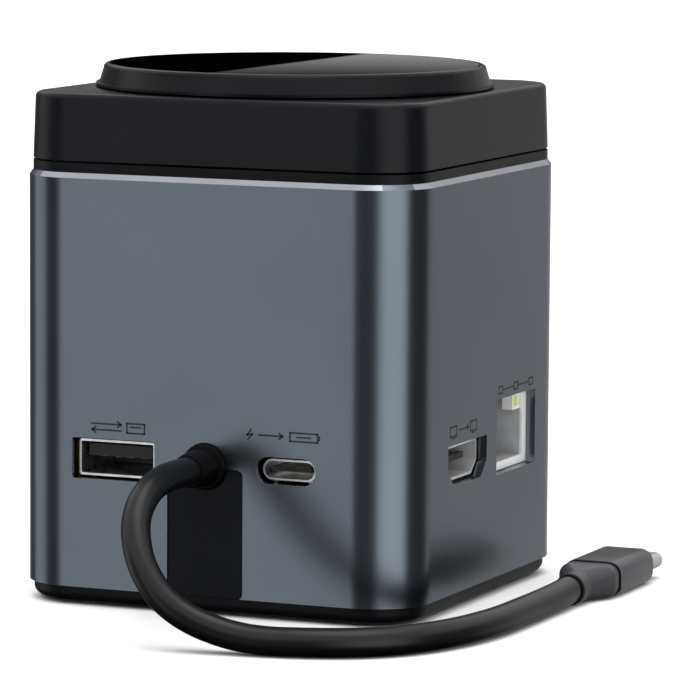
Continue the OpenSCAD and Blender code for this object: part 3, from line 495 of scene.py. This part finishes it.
# %% [markdown]
# The windows are rounded blocks that run through the wall. Each is drawn flat, at the socket's
# own middle, turned to its face and given depth. The slot for the lead's insert runs out
# through the sleeve's lower edge, so its block starts below it.

# %% Windows in the sleeve
port = 23.4
data_x, power_x, video_y, network_y = -15.7, 13.6, -9.3, 11.4
back_turn, side_turn = (math.radians(90), 0, 0), (math.radians(90), 0, math.radians(90))
inwards = Vector((0, 1, 0))
sidewards = Vector((-1, 0, 0))
# Half width, half height and corner radius of each window
data_window, power_window = (7.1, 3.2, 0.5), (4.95, 2.1, 2.09)
gland_window, insert_window = (3.65, 3.65, 3.649), (6.4, 10.1, 1.0)
insert_middle = 13.0
network_window, network_z = (8.45, 6.0), 25.3


def back_cutter(x, z, half_x, half_z, corner_radius, segments=8):
    """A block through the -Y wall."""
    piece = rounded_square("window_block", half_x, half_z, corner_radius,
                           (x, -half - 1, z), segments, back_turn)
    climb([(0, wall + 2)], inwards)
    end_edit(piece)
    return piece


def side_cutter(y, z, half_y, half_z):
    """A block through the +X wall, with nearly sharp corners."""
    piece = rounded_square("window_block", half_y, half_z, 0.05, (half + 1, y, z), 2, side_turn)
    climb([(0, wall + 2)], sidewards)
    end_edit(piece)
    return piece


def video_plate(name, half_wide, half_high, half_sill, shoulder, x, z):
    """The video socket's outline: a plate whose lower corners are cut away."""
    piece = rounded_square(name, half_wide, half_high, 0.06, (x, video_y, z), 2, side_turn)
    for side in (1, -1):
        start = Vector((0, video_y + side * half_wide, z - shoulder)) * mm
        run = Vector((0, side * (half_sill - half_wide), shoulder - half_high))
        out = Vector((0, -run.z * side, run.y * side)).normalized()
        bpy.ops.mesh.select_all(action="SELECT")
        bpy.ops.mesh.bisect(plane_co=start, plane_no=out, clear_outer=out.y * side > 0,
                            clear_inner=out.y * side < 0)
        bpy.ops.mesh.select_all(action="SELECT")
    pick_all_faces()
    return piece


for block in (back_cutter(data_x, port, *data_window),
              back_cutter(power_x, port, *power_window, 14),
              back_cutter(0, port, *gland_window, 20),
              back_cutter(0, insert_middle, *insert_window),
              side_cutter(network_y, network_z, *network_window)):
    subtract(sleeve, block)
video_block = video_plate("window_block", 8.1, 3.2, 5.7, 0.7, half + 1, port - 0.25)
climb([(0, wall + 2)], sidewards)
end_edit(video_block)
subtract(sleeve, video_block)
print("sleeve faces with its windows:", len(sleeve.data.polygons))

# %% [markdown]
# A cut metal edge is never perfectly sharp. Every edge is broken by a tenth of a millimetre,
# and those narrow faces, with the bevel on top, are bare bright metal where the anodising was
# cut away. They catch the light as thin lines and make the tower read as machined.

# %% Bright edges
sleeve.data.materials.append(finishes["anodised_sleeve"])
sleeve.data.materials.append(cut_edge)
soften(sleeve, 0.09, slot=1)
bevel_low = (sleeve_top - bevel_rise) * mm
bright = 0
for face in sleeve.data.polygons:
    middle, normal = face.center, face.normal
    outer = max(abs(middle.x), abs(middle.y)) > (half - wall + 0.1) * mm
    if outer and middle.z > bevel_low - 0.1 * mm and 0.1 < normal.z < 0.95:
        face.material_index = 1
        bright += 1
dress(sleeve, "tower", "anodised_sleeve", "body_sleeve")
print("bright bevel faces:", bright)

# %% [markdown]
# ## The lid
# The lid is a moulded black cap. Its sides lean in a little so that it leaves the mould, and its
# upper edge has a soft round that draws a thin highlight. The well in its middle takes the
# charging pad, with four pockets for the pad's rubber rests, slots for the hinge's knuckles, and
# a slit for the ribbon. Only what shows is modelled; the frame keeps its hollow inside.

# %% Lid
lid_low, lid_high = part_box("lid")
lid_base = sleeve_top + 1.5 + 0.3
lid_top = lid_high.z / mm
well_radius, well_depth = 26.4, 2.3
rest_at, rest_radius, rest_depth = 14, 2.1, 0.5
knuckle_at, knuckle_half, knuckle_depth = 8.4, 2.5, 2.5
lid_round, lid_draft = 0.9, 0.35


def round_cutter(name, radius, x, y, low, high, vertices=48):
    piece = begin(name, bpy.ops.mesh.primitive_cylinder_add, vertices=vertices,
                  radius=radius * mm, depth=(high - low) * mm,
                  location=(x * mm, y * mm, (low + high) / 2 * mm))
    end_edit(piece)
    return piece


def box_between(name, low, high):
    """A plain block between two corners in millimetres, left in object mode."""
    piece = begin(name, bpy.ops.mesh.primitive_cube_add, size=1)
    bpy.ops.transform.resize(value=[(b - a) * mm for a, b in zip(low, high)])
    bpy.ops.transform.translate(value=[(a + b) / 2 * mm for a, b in zip(low, high)])
    end_edit(piece)
    return piece


def raise_lid():
    piece = rounded_square("lid_cap", half - bevel_in, half - bevel_in, corner - bevel_in,
                           (0, 0, lid_base), 28)
    climb([(0, 0.2), (lid_draft, lid_top - lid_base - lid_round - 0.2)] + round_over(lid_round))
    end_edit(piece)
    return piece


lid = raise_lid()
well_floor = lid_top - well_depth
subtract(lid, round_cutter("well", well_radius, 0, 0, well_floor, lid_top + 1, 160))
for x in (-rest_at, rest_at):
    for y in (-rest_at, rest_at):
        subtract(lid, round_cutter("rest_pocket", rest_radius, x, y, well_floor - rest_depth,
                                   well_floor + 0.1))
for x in (-knuckle_at, knuckle_at):
    subtract(lid, box_between("knuckle_slot", (x - knuckle_half, 29, lid_top - knuckle_depth),
                              (x + knuckle_half, 31, lid_top + 1)))
subtract(lid, box_between("ribbon_slit", (-4.5, 19, lid_base + 2),
                          (4.5, 22, well_floor + 0.1)))
soften(lid, 0.08)
dress(lid, "tower", "satin_lid", "lid")
print("lid faces:", len(lid.data.polygons), "top at", round(lid_top, 2), "mm")

# %% [markdown]
# ## The pad's glass
# The pad ends in a disc of black-backed glass that sits a hair inside its rim. Polished glass
# has a small round at its edge, and that round is what separates it from the rim in a picture.
# The disc is raised from a circle with the same climbing steps. A thin ring in its middle marks
# where a phone goes. It lies a thousandth of a millimetre inside the glass, so it doesn't show.

# %% Glass disc and its ring
glass_low, glass_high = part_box("pad_glass")
glass_radius = glass_high.x / mm


def raise_disc(name, radius, low, steps, vertices=160):
    piece = begin(name, bpy.ops.mesh.primitive_circle_add, vertices=vertices,
                  radius=radius * mm, fill_type="NGON", location=(0, 0, low * mm))
    pick_all_faces()
    climb(steps)
    end_edit(piece)
    return piece


glass_top = glass_high.z / mm
glass_rise = glass_top - glass_low.z / mm
edge_round = 0.18
glass = raise_disc("pad_glass_disc", glass_radius, glass_low.z / mm,
                   [(0, glass_rise - edge_round)] + round_over(edge_round, 4))
dress(glass, "pad", "pad_glass", "pad_glass")

ring_radius, ring_width, ring_foot, ring_rise = 2.0, 0.42, 0.02, 0.019
ring = begin("pad_centre_ring", bpy.ops.mesh.primitive_circle_add, vertices=72,
             radius=ring_radius * mm, fill_type="NGON",
             location=(0, 0, (glass_top - ring_foot) * mm))
pick_all_faces()
bpy.ops.mesh.inset(thickness=ring_width * mm, depth=0)
bpy.ops.mesh.delete(type="FACE")
bpy.ops.mesh.select_all(action="SELECT")
push((0, 0, ring_rise * mm))
end_edit(ring)
ring.data.materials.append(mark_white)
dress(ring, "pad", "pad_glass")
print("glass radius", round(glass_radius, 2), "mm, ring under its top by",
      round(ring_foot - ring_rise, 4), "mm")

# %% [markdown]
# ## Where the lead leaves the tower
# A black insert closes the slot under the cable, so that the cable could be fitted after the
# sleeve was cut. The cable itself leaves through a round gland and a short tapered relief.
# The insert is a rounded plate with its top corners rounded; the gland and relief are one
# turned piece, a disc that travels outwards and changes its radius on the way.

# %% Insert and gland
def raise_insert():
    piece = rounded_square("lead_insert", 6.32, 11.0, 0.92, (0, -half + 0.15, 12.02), 8,
                           back_turn)
    climb([(0, wall - 0.2)], inwards)
    end_edit(piece)
    subtract(piece, box_between("lower_trim", (-8, -half - 1, 0), (8, -half + 3, base_top)))
    hole = rounded_square("gland_hole", *gland_window, (0, -half - 1, port), 20, back_turn)
    climb([(0, wall + 2)], inwards)
    end_edit(hole)
    subtract(piece, hole)
    soften(piece, 0.12)
    return piece


insert = raise_insert()
dress(insert, "tower", "insert_plastic", "cable_insert")


def turned(name, middle, along, rings, vertices=56, turn=back_turn):
    """A turned piece: rings are (radius, how far along), from its first end."""
    radius, at = rings[0]
    place = Vector(middle) * mm + along * at * mm
    piece = begin(name, bpy.ops.mesh.primitive_circle_add, vertices=vertices,
                  radius=radius * mm, fill_type="NGON", location=place, rotation=turn)
    pick_all_faces()
    for next_radius, next_at in rings[1:]:
        push(along * (next_at - at) * mm)
        ratio = next_radius / radius
        bpy.ops.transform.resize(value=(ratio, ratio, ratio),
                                 center_override=Vector(middle) * mm + along * next_at * mm)
        radius, at = next_radius, next_at
    end_edit(piece)
    return piece


outwards = Vector((0, -1, 0))
collar = turned("gland_and_relief", (0, 0, port), outwards,
                [(3.55, half - 2.0), (3.55, half + 0.75), (3.47, half + 0.92),
                 (3.28, half + 1.0), (3.05, half + 1.02), (2.98, half + 1.15),
                 (2.95, half + 1.6), (2.84, half + 3.4), (2.7, half + 5.2),
                 (2.62, 39.75), (2.52, 39.93), (2.3, 40.0)])
collar.data.materials.append(gland_black)
dress(collar, "tower", "lead_rubber", "cable_collar")
print("relief ends at Y", round(min(v.co.y for v in collar.data.vertices) / mm, 2), "mm")

# %% [markdown]
# ## The plug
# The plug lies flat on the desk. A soft neck swells from the round cable into the flat section
# of the metal housing; two thin black rings part it from the cable and the housing. A bridge
# between a round outline and a flat one, with smooth in-between rings, gives the saddle that a
# moulded neck has. Housing and tip are rounded plates pushed along the plug's own line.

# %% Neck
plug_x, plug_centre = 47.7, 2.8
neck_first, neck_last, neck_end, housing_end, tip_end = -0.3, 9.3, 10.0, 25.0, 31.4
neck_radius, neck_wide, neck_height, neck_lean = 2.45, 2.53, 2.55, math.radians(3.75)
along_plug = Vector((0, 1, 0))
plug_half, plug_half_high, plug_round = 4.9, 2.8, 2.1


def raise_neck():
    piece = begin("plug_neck_sleeve", bpy.ops.mesh.primitive_circle_add, vertices=48,
                  radius=neck_radius * mm, rotation=back_turn, fill_type="NGON",
                  location=(plug_x * mm, neck_first * mm, neck_height * mm))
    bpy.ops.transform.rotate(value=neck_lean, orient_axis="Y",
                             center_override=(plug_x * mm, neck_first * mm, neck_height * mm))
    pick_all_faces()
    at = neck_first
    for ratio, move in ((neck_wide / neck_radius, 0.15), (1.0, 0.4), (1.0, 1.3), (1.0, 1.4)):
        push(along_plug * move * mm)
        at += move
        bpy.ops.transform.resize(value=(ratio, 1, ratio),
                                 center_override=(plug_x * mm, at * mm, neck_height * mm))
    bpy.ops.mesh.delete(type="ONLY_FACE")
    bpy.ops.object.mode_set(mode="OBJECT")
    flat = rounded_square("flat_end", plug_half - 0.2, plug_half_high - 0.2,
                          plug_round - 0.16, (plug_x, neck_last - 2.0, plug_centre), 11,
                          back_turn)
    bpy.ops.mesh.delete(type="ONLY_FACE")
    bpy.ops.object.mode_set(mode="OBJECT")
    only(piece)
    flat.select_set(True)
    bpy.ops.object.join()
    bpy.ops.object.mode_set(mode="EDIT")
    pick(piece, "EDGE", lambda middle, line: abs(line.y) < 1e-7 and (
        abs(middle.y - at * mm) < 0.02 * mm or middle.y > (neck_last - 2.1) * mm))
    bpy.ops.mesh.bridge_edge_loops(number_cuts=12, interpolation="PATH", smoothness=0.75)
    pick(piece, "EDGE", lambda middle, line: middle.y > (neck_last - 2.01) * mm
         and abs(line.y) < 1e-7)
    bpy.ops.mesh.edge_face_add()
    bpy.ops.mesh.select_mode(type="FACE")
    climb([(0, 1.85), (0.12, 0.15)], along_plug)
    end_edit(piece, 50)
    return piece


neck = raise_neck()
dress(neck, "tower", "neck_plastic", "plug_neck")
print("neck faces", len(neck.data.polygons), "from", round(min(
    v.co.z for v in neck.data.vertices) / mm, 2), "to", round(max(
        v.co.z for v in neck.data.vertices) / mm, 2), "mm high")

# %% Housing and tip
def raise_plate(name, half_wide, half_high, corner, start, length, edge, segments, rear_edge=0):
    """A rounded plate pushed along the plug, with a rounded far edge."""
    piece = rounded_square(name, half_wide, half_high, corner, (plug_x, start, plug_centre),
                           segments, back_turn)
    at, drawn = start, 0.0
    for draw_in, move in [(0, length - edge)] + round_over(edge, 5):
        push(along_plug * move * mm)
        at, before, drawn = at + move, drawn, drawn + draw_in
        bpy.ops.transform.resize(
            value=((half_wide - drawn) / (half_wide - before), 1,
                   (half_high - drawn) / (half_high - before)),
            center_override=(plug_x * mm, at * mm, plug_centre * mm))
    if rear_edge:
        pick(piece, "FACE", lambda middle, normal: middle.y < (start + 0.01) * mm
             and abs(normal.y) > 0.9)
        push(-along_plug * rear_edge * mm)
        bpy.ops.transform.resize(
            value=((half_wide - rear_edge) / half_wide, 1, (half_high - rear_edge) / half_high),
            center_override=(plug_x * mm, start * mm, plug_centre * mm))
    end_edit(piece)
    return piece


housing = raise_plate("plug_metal_housing", plug_half, plug_half_high, plug_round,
                      neck_end + 0.08, housing_end - neck_end - 0.08, 0.4, 12, rear_edge=0.08)
dress(housing, "tower", "plug_metal", "plug_housing")

tip = raise_plate("plug_bright_tip", 4.17, 1.28, 1.27, housing_end - 3,
                  tip_end - housing_end + 3, 0.25, 10)
mouth = rounded_square("tip_mouth", 3.85, 0.96, 0.95, (plug_x, tip_end - 5, plug_centre), 10,
                       back_turn)
climb([(0, 6)], along_plug)
end_edit(mouth)
subtract(tip, mouth)
dress(tip, "tower", "socket_steel", "plug_shell")
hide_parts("lead")
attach(lead, "tower")
print("tip ends at Y", round(max(v.co.y for v in tip.data.vertices) / mm, 2), "mm")

# %% [markdown]
# ## Blocks inside the network jack
# Two milky blocks sit in the upper corners of the network jack and carry its link lights. They
# are short, so the dark top of the jack shows between them. Each is a small cube, sized and
# placed in edit mode, with its edges softened as a moulded part has them. The far block has a
# slot cut through it, where the coloured window of the link light sits.

# %% Light blocks
block_low, block_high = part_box("network_light_blocks")
block_deep, block_wide = 1.9, 3.1
light_low, light_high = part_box("network_light")
slot_play = 0.05
for side, name in ((1, "light_block_far"), (-1, "light_block_near")):
    edge = (block_high.y if side > 0 else block_low.y) / mm
    inner = edge - side * block_wide
    block = box_between(
        name, (block_high.x / mm - block_deep, min(edge, inner), block_low.z / mm),
        (block_high.x / mm, max(edge, inner), block_high.z / mm))
    soften(block, 0.12)
    if side > 0:
        subtract(block, box_between("light_slot", [v / mm - slot_play for v in light_low],
                                    [v / mm + slot_play + reach for v, reach in
                                     zip(light_high, (1, 0, 0))]))
    dress(block, "tower", "light_block", "network_light_blocks")
print("jack blocks are", block_deep, "mm deep")

# %% [markdown]
# ## Printed marks
# The real tower has a short printed name over each socket. Names don't belong on a shared
# part, so each is replaced by a small row of signs of the same height: arrows that pass each
# other for data, a bolt and a battery for power, two screens for video, linked boxes for the
# network. Every sign is drawn with straight pen strokes, thin blocks that stand a fiftieth of a
# millimetre off the metal, as screen-printed ink does.

# %% Pen strokes
pen = 0.27
ink = 0.02


def stroke(start, stop, centre, face):
    """One straight pen stroke on the -Y or the +X face, in millimetres."""
    across, up = stop[0] - start[0], stop[1] - start[1]
    middle_across = (start[0] + stop[0]) / 2 + centre[0]
    middle_up = (start[1] + stop[1]) / 2 + centre[1]
    bpy.ops.object.select_all(action="DESELECT")
    bpy.ops.mesh.primitive_cube_add(size=1)
    piece = bpy.context.object
    piece.scale = ((math.hypot(across, up) + pen) * mm, ink * mm, pen * mm)
    piece.rotation_mode = "ZYX" if face == "back" else "XYZ"
    lean = -math.atan2(up, across)
    if face == "back":
        piece.rotation_euler = (0, lean, 0)
        piece.location = (middle_across * mm, -(half + ink / 2 - 0.001) * mm, middle_up * mm)
    else:
        piece.rotation_euler = (0, lean, math.radians(90))
        piece.location = ((half + ink / 2 - 0.001) * mm, middle_across * mm, middle_up * mm)
    settle(piece)
    return piece


def path(*points):
    return list(zip(points, points[1:]))


def frame_sign(x, wide, high):
    w, h = wide / 2, high / 2
    return path((x - w, -h), (x + w, -h), (x + w, h), (x - w, h), (x - w, -h))


def arrow_sign(start, stop, up):
    way = 1 if stop > start else -1
    return path((start, up), (stop, up)) + path(
        (stop - way * 0.6, up + 0.42), (stop, up), (stop - way * 0.6, up - 0.42))


def screen_sign(x):
    return frame_sign(x, 2.6, 1.5) + path((x - 0.6, -1.05), (x + 0.6, -1.05))


def print_signs(name, lines, centre, face):
    """Joins the strokes of one label into one printed mark."""
    pieces = [stroke(a, b, centre, face) for a, b in lines]
    only(pieces[0])
    for piece in pieces[1:]:
        piece.select_set(True)
    bpy.ops.object.join()
    mark = pieces[0]
    mark.name = mark.data.name = name
    mark.data.materials.append(print_grey)
    return dress(mark, "tower", "black_plastic")


# %% The four labels
print_signs("mark_over_data", arrow_sign(-4.4, 0.6, 0.48) + arrow_sign(0.6, -4.4, -0.48)
            + frame_sign(3.1, 3.0, 1.5) + path((2.3, 0.2), (3.9, 0.2)),
            (-14.9, 28.5), "back")
print_signs("mark_over_power",
            path((-6.2, 0.75), (-6.9, -0.1), (-6.0, 0.1), (-6.7, -0.75))
            + arrow_sign(-4.9, -0.9, 0) + frame_sign(2.6, 4.6, 1.3)
            + path((5.2, 0.25), (5.2, -0.25)) + path((1.5, 0.0), (3.7, 0.0)),
            (14.0, 28.8), "back")
print_signs("mark_over_video", screen_sign(-4.2) + arrow_sign(-2.0, 2.0, 0) + screen_sign(4.2),
            (-11.1, 28.5), "side")
print_signs("mark_over_network", frame_sign(-6.6, 1.6, 1.1) + path((-5.6, 0), (-1.0, 0))
            + frame_sign(0, 1.6, 1.1) + path((1.0, 0), (5.6, 0)) + frame_sign(6.6, 1.6, 1.1),
            (11.2, 32.7), "side")

# %% [markdown]
# ## Floor, light and finish
# The dock stands on a plain pale floor, wide enough to fill the picture. The studio is a soft
# dome with tall soft panels round the tower: satin metal shows little but its surroundings, so
# the panels and the dark gaps between them draw the bands on its rounded corners. One broad
# lamp overhead lights the floor and the top bevel. Glossy reflections look past the floor to
# the panels, as they do when a tower is shot on a narrow table.

# %% Floor
bpy.ops.object.select_all(action="DESELECT")
bpy.ops.mesh.primitive_plane_add(size=16, location=(0, 0, 0))
floor = bpy.context.object
floor.name = "pale_floor"
floor_finish = bpy.data.materials.new("pale_floor")
floor_finish.use_nodes = True
floor_shader = floor_finish.node_tree.nodes["Principled BSDF"]
floor_shader.inputs["Base Color"].default_value = (0.9, 0.9, 0.9, 1)
floor_shader.inputs["Roughness"].default_value = 0.9
floor_shader.inputs["Specular IOR Level"].default_value = 0.0
floor.data.materials.append(floor_finish)
floor.visible_glossy = False

# %% Panels round the tower
# Each stop is (degrees round from -Y towards +X, brightness)
panels = [(-180, 0.47), (-150, 0.42), (-130, 0.1), (-108, 0.1), (-98, 0.8), (-74, 0.8),
          (-62, 0.1), (-40, 0.1), (-31, 0.98), (-21, 0.98), (-12, 0.14), (19, 0.14),
          (42, 1.5), (74, 1.5), (93, 0.1), (128, 0.1), (144, 0.47), (180, 0.47)]
dome_bright = 1.0
# A narrow strip of light behind the tower, which only the flat glass of the pad shows. Its
# lower edge leans, and it fades out upwards. All are degrees but the last.
strip_at, strip_edge, strip_lean, strip_top = -156.9, 3.39, 0.129, 3.64
strip_bright = 0.35
# The dark gap round the strip: how far its foot, head and sides take to fade, in degrees
gap_foot, gap_head, gap_side = (0.8, 2.0), (7, 12), (12, 25)
# Upward slopes between which the dome takes over, and the floor's side goes dark
dome_from, dark_from = (0.2, 0.5), (-0.6, -0.25)


def maths(tree, operation, first, second=None):
    """A maths node; each input is a number or another node's output."""
    node = tree.nodes.new("ShaderNodeMath")
    node.operation = operation
    for socket, value in zip(node.inputs, (first, second)):
        if isinstance(value, (int, float)):
            socket.default_value = value
        elif value is not None:
            tree.links.new(value, socket)
    return node.outputs[0]


def ramp_between(tree, value, low, high):
    """A soft step from 0 at low to 1 at high."""
    node = tree.nodes.new("ShaderNodeMapRange")
    node.interpolation_type = "SMOOTHSTEP"
    node.inputs["From Min"].default_value = low
    node.inputs["From Max"].default_value = high
    tree.links.new(value, node.inputs["Value"])
    return node.outputs["Result"]


def panel_light(tree, azimuth):
    """Brightness of the panels at an azimuth in degrees."""
    ramp = tree.nodes.new("ShaderNodeValToRGB")
    ramp.color_ramp.interpolation = "EASE"
    stops = ramp.color_ramp.elements
    while len(stops) > 1:
        stops.remove(stops[-1])
    for i, (degrees, value) in enumerate(panels):
        stop = stops[0] if i == 0 else stops.new((degrees + 180) / 360)
        stop.position = (degrees + 180) / 360
        stop.color = (value / 2, value / 2, value / 2, 1)
    place = maths(tree, "DIVIDE", maths(tree, "ADD", azimuth, 180), 360)
    tree.links.new(place, ramp.inputs["Fac"])
    return maths(tree, "MULTIPLY", ramp.outputs["Color"], 2)


def strip_light(tree, azimuth, height):
    """Brightness of the leaning strip, and a mask of the dark gap that it hangs in."""
    aside = maths(tree, "SUBTRACT", azimuth, strip_at)
    edge = maths(tree, "ADD", maths(tree, "MULTIPLY", aside, strip_lean), strip_edge)
    above = maths(tree, "SUBTRACT", height, edge)
    lit = ramp_between(tree, above, -0.008, 0.008)
    fade = tree.nodes.new("ShaderNodeMapRange")
    fade.inputs["From Min"].default_value = strip_edge
    fade.inputs["From Max"].default_value = strip_top
    fade.inputs["To Min"].default_value = strip_bright
    fade.inputs["To Max"].default_value = 0
    tree.links.new(height, fade.inputs["Value"])
    glow = maths(tree, "MULTIPLY", lit, fade.outputs["Result"])
    near = maths(tree, "SUBTRACT", 1, ramp_between(tree, maths(tree, "ABSOLUTE", aside),
                                                  *gap_side))
    rising = ramp_between(tree, height, *gap_foot)
    falling = maths(tree, "SUBTRACT", 1, ramp_between(tree, height, *gap_head))
    gap = maths(tree, "MULTIPLY", near, maths(tree, "MULTIPLY", rising, falling))
    return maths(tree, "MULTIPLY", glow, near), gap


def build_world():
    world = bpy.data.worlds.new("soft_studio")
    bpy.context.scene.world = world
    world.use_nodes = True
    tree = world.node_tree
    place = tree.nodes.new("ShaderNodeTexCoord")
    parts = tree.nodes.new("ShaderNodeSeparateXYZ")
    tree.links.new(place.outputs["Generated"], parts.inputs[0])
    x, y, z = parts.outputs
    azimuth = maths(tree, "DEGREES", maths(tree, "ARCTAN2", x, maths(tree, "MULTIPLY", y, -1)))
    height = maths(tree, "DEGREES", maths(tree, "ARCSINE", z))
    glow, gap = strip_light(tree, azimuth, height)
    mix = tree.nodes.new("ShaderNodeMix")
    mix.data_type = "FLOAT"
    mix.inputs["B"].default_value = dome_bright
    tree.links.new(ramp_between(tree, z, *dome_from), mix.inputs["Factor"])
    tree.links.new(panel_light(tree, azimuth), mix.inputs["A"])
    below = ramp_between(tree, z, *dark_from)
    soft = maths(tree, "MULTIPLY", mix.outputs["Result"],
                 maths(tree, "MULTIPLY", below, maths(tree, "SUBTRACT", 1, gap)))
    tree.links.new(maths(tree, "ADD", soft, glow), tree.nodes["Background"].inputs["Color"])


build_world()

# %% Lamps
def lamp(name, place, target, size, watts):
    data = bpy.data.lights.new(name, "AREA")
    data.energy = watts
    data.size = size
    piece = bpy.data.objects.new(name, data)
    bpy.context.scene.collection.objects.link(piece)
    piece.location = place
    aim = Vector(target) - Vector(place)
    piece.rotation_euler = aim.to_track_quat("-Z", "Y").to_euler()
    piece.visible_camera = False


lamp("overhead_softbox", (0.2, -0.05, 1.2), (0, 0, 0), 0.8, 3)
sun_data = bpy.data.lights.new("high_diffuser", "SUN")
sun_data.energy, sun_data.angle = 2.0, math.radians(60)
sun = bpy.data.objects.new("high_diffuser", sun_data)
bpy.context.scene.collection.objects.link(sun)
sun.rotation_euler = (math.radians(8), math.radians(-6), 0)
sun.visible_glossy = False
bpy.context.scene.view_settings.view_transform = "Standard"
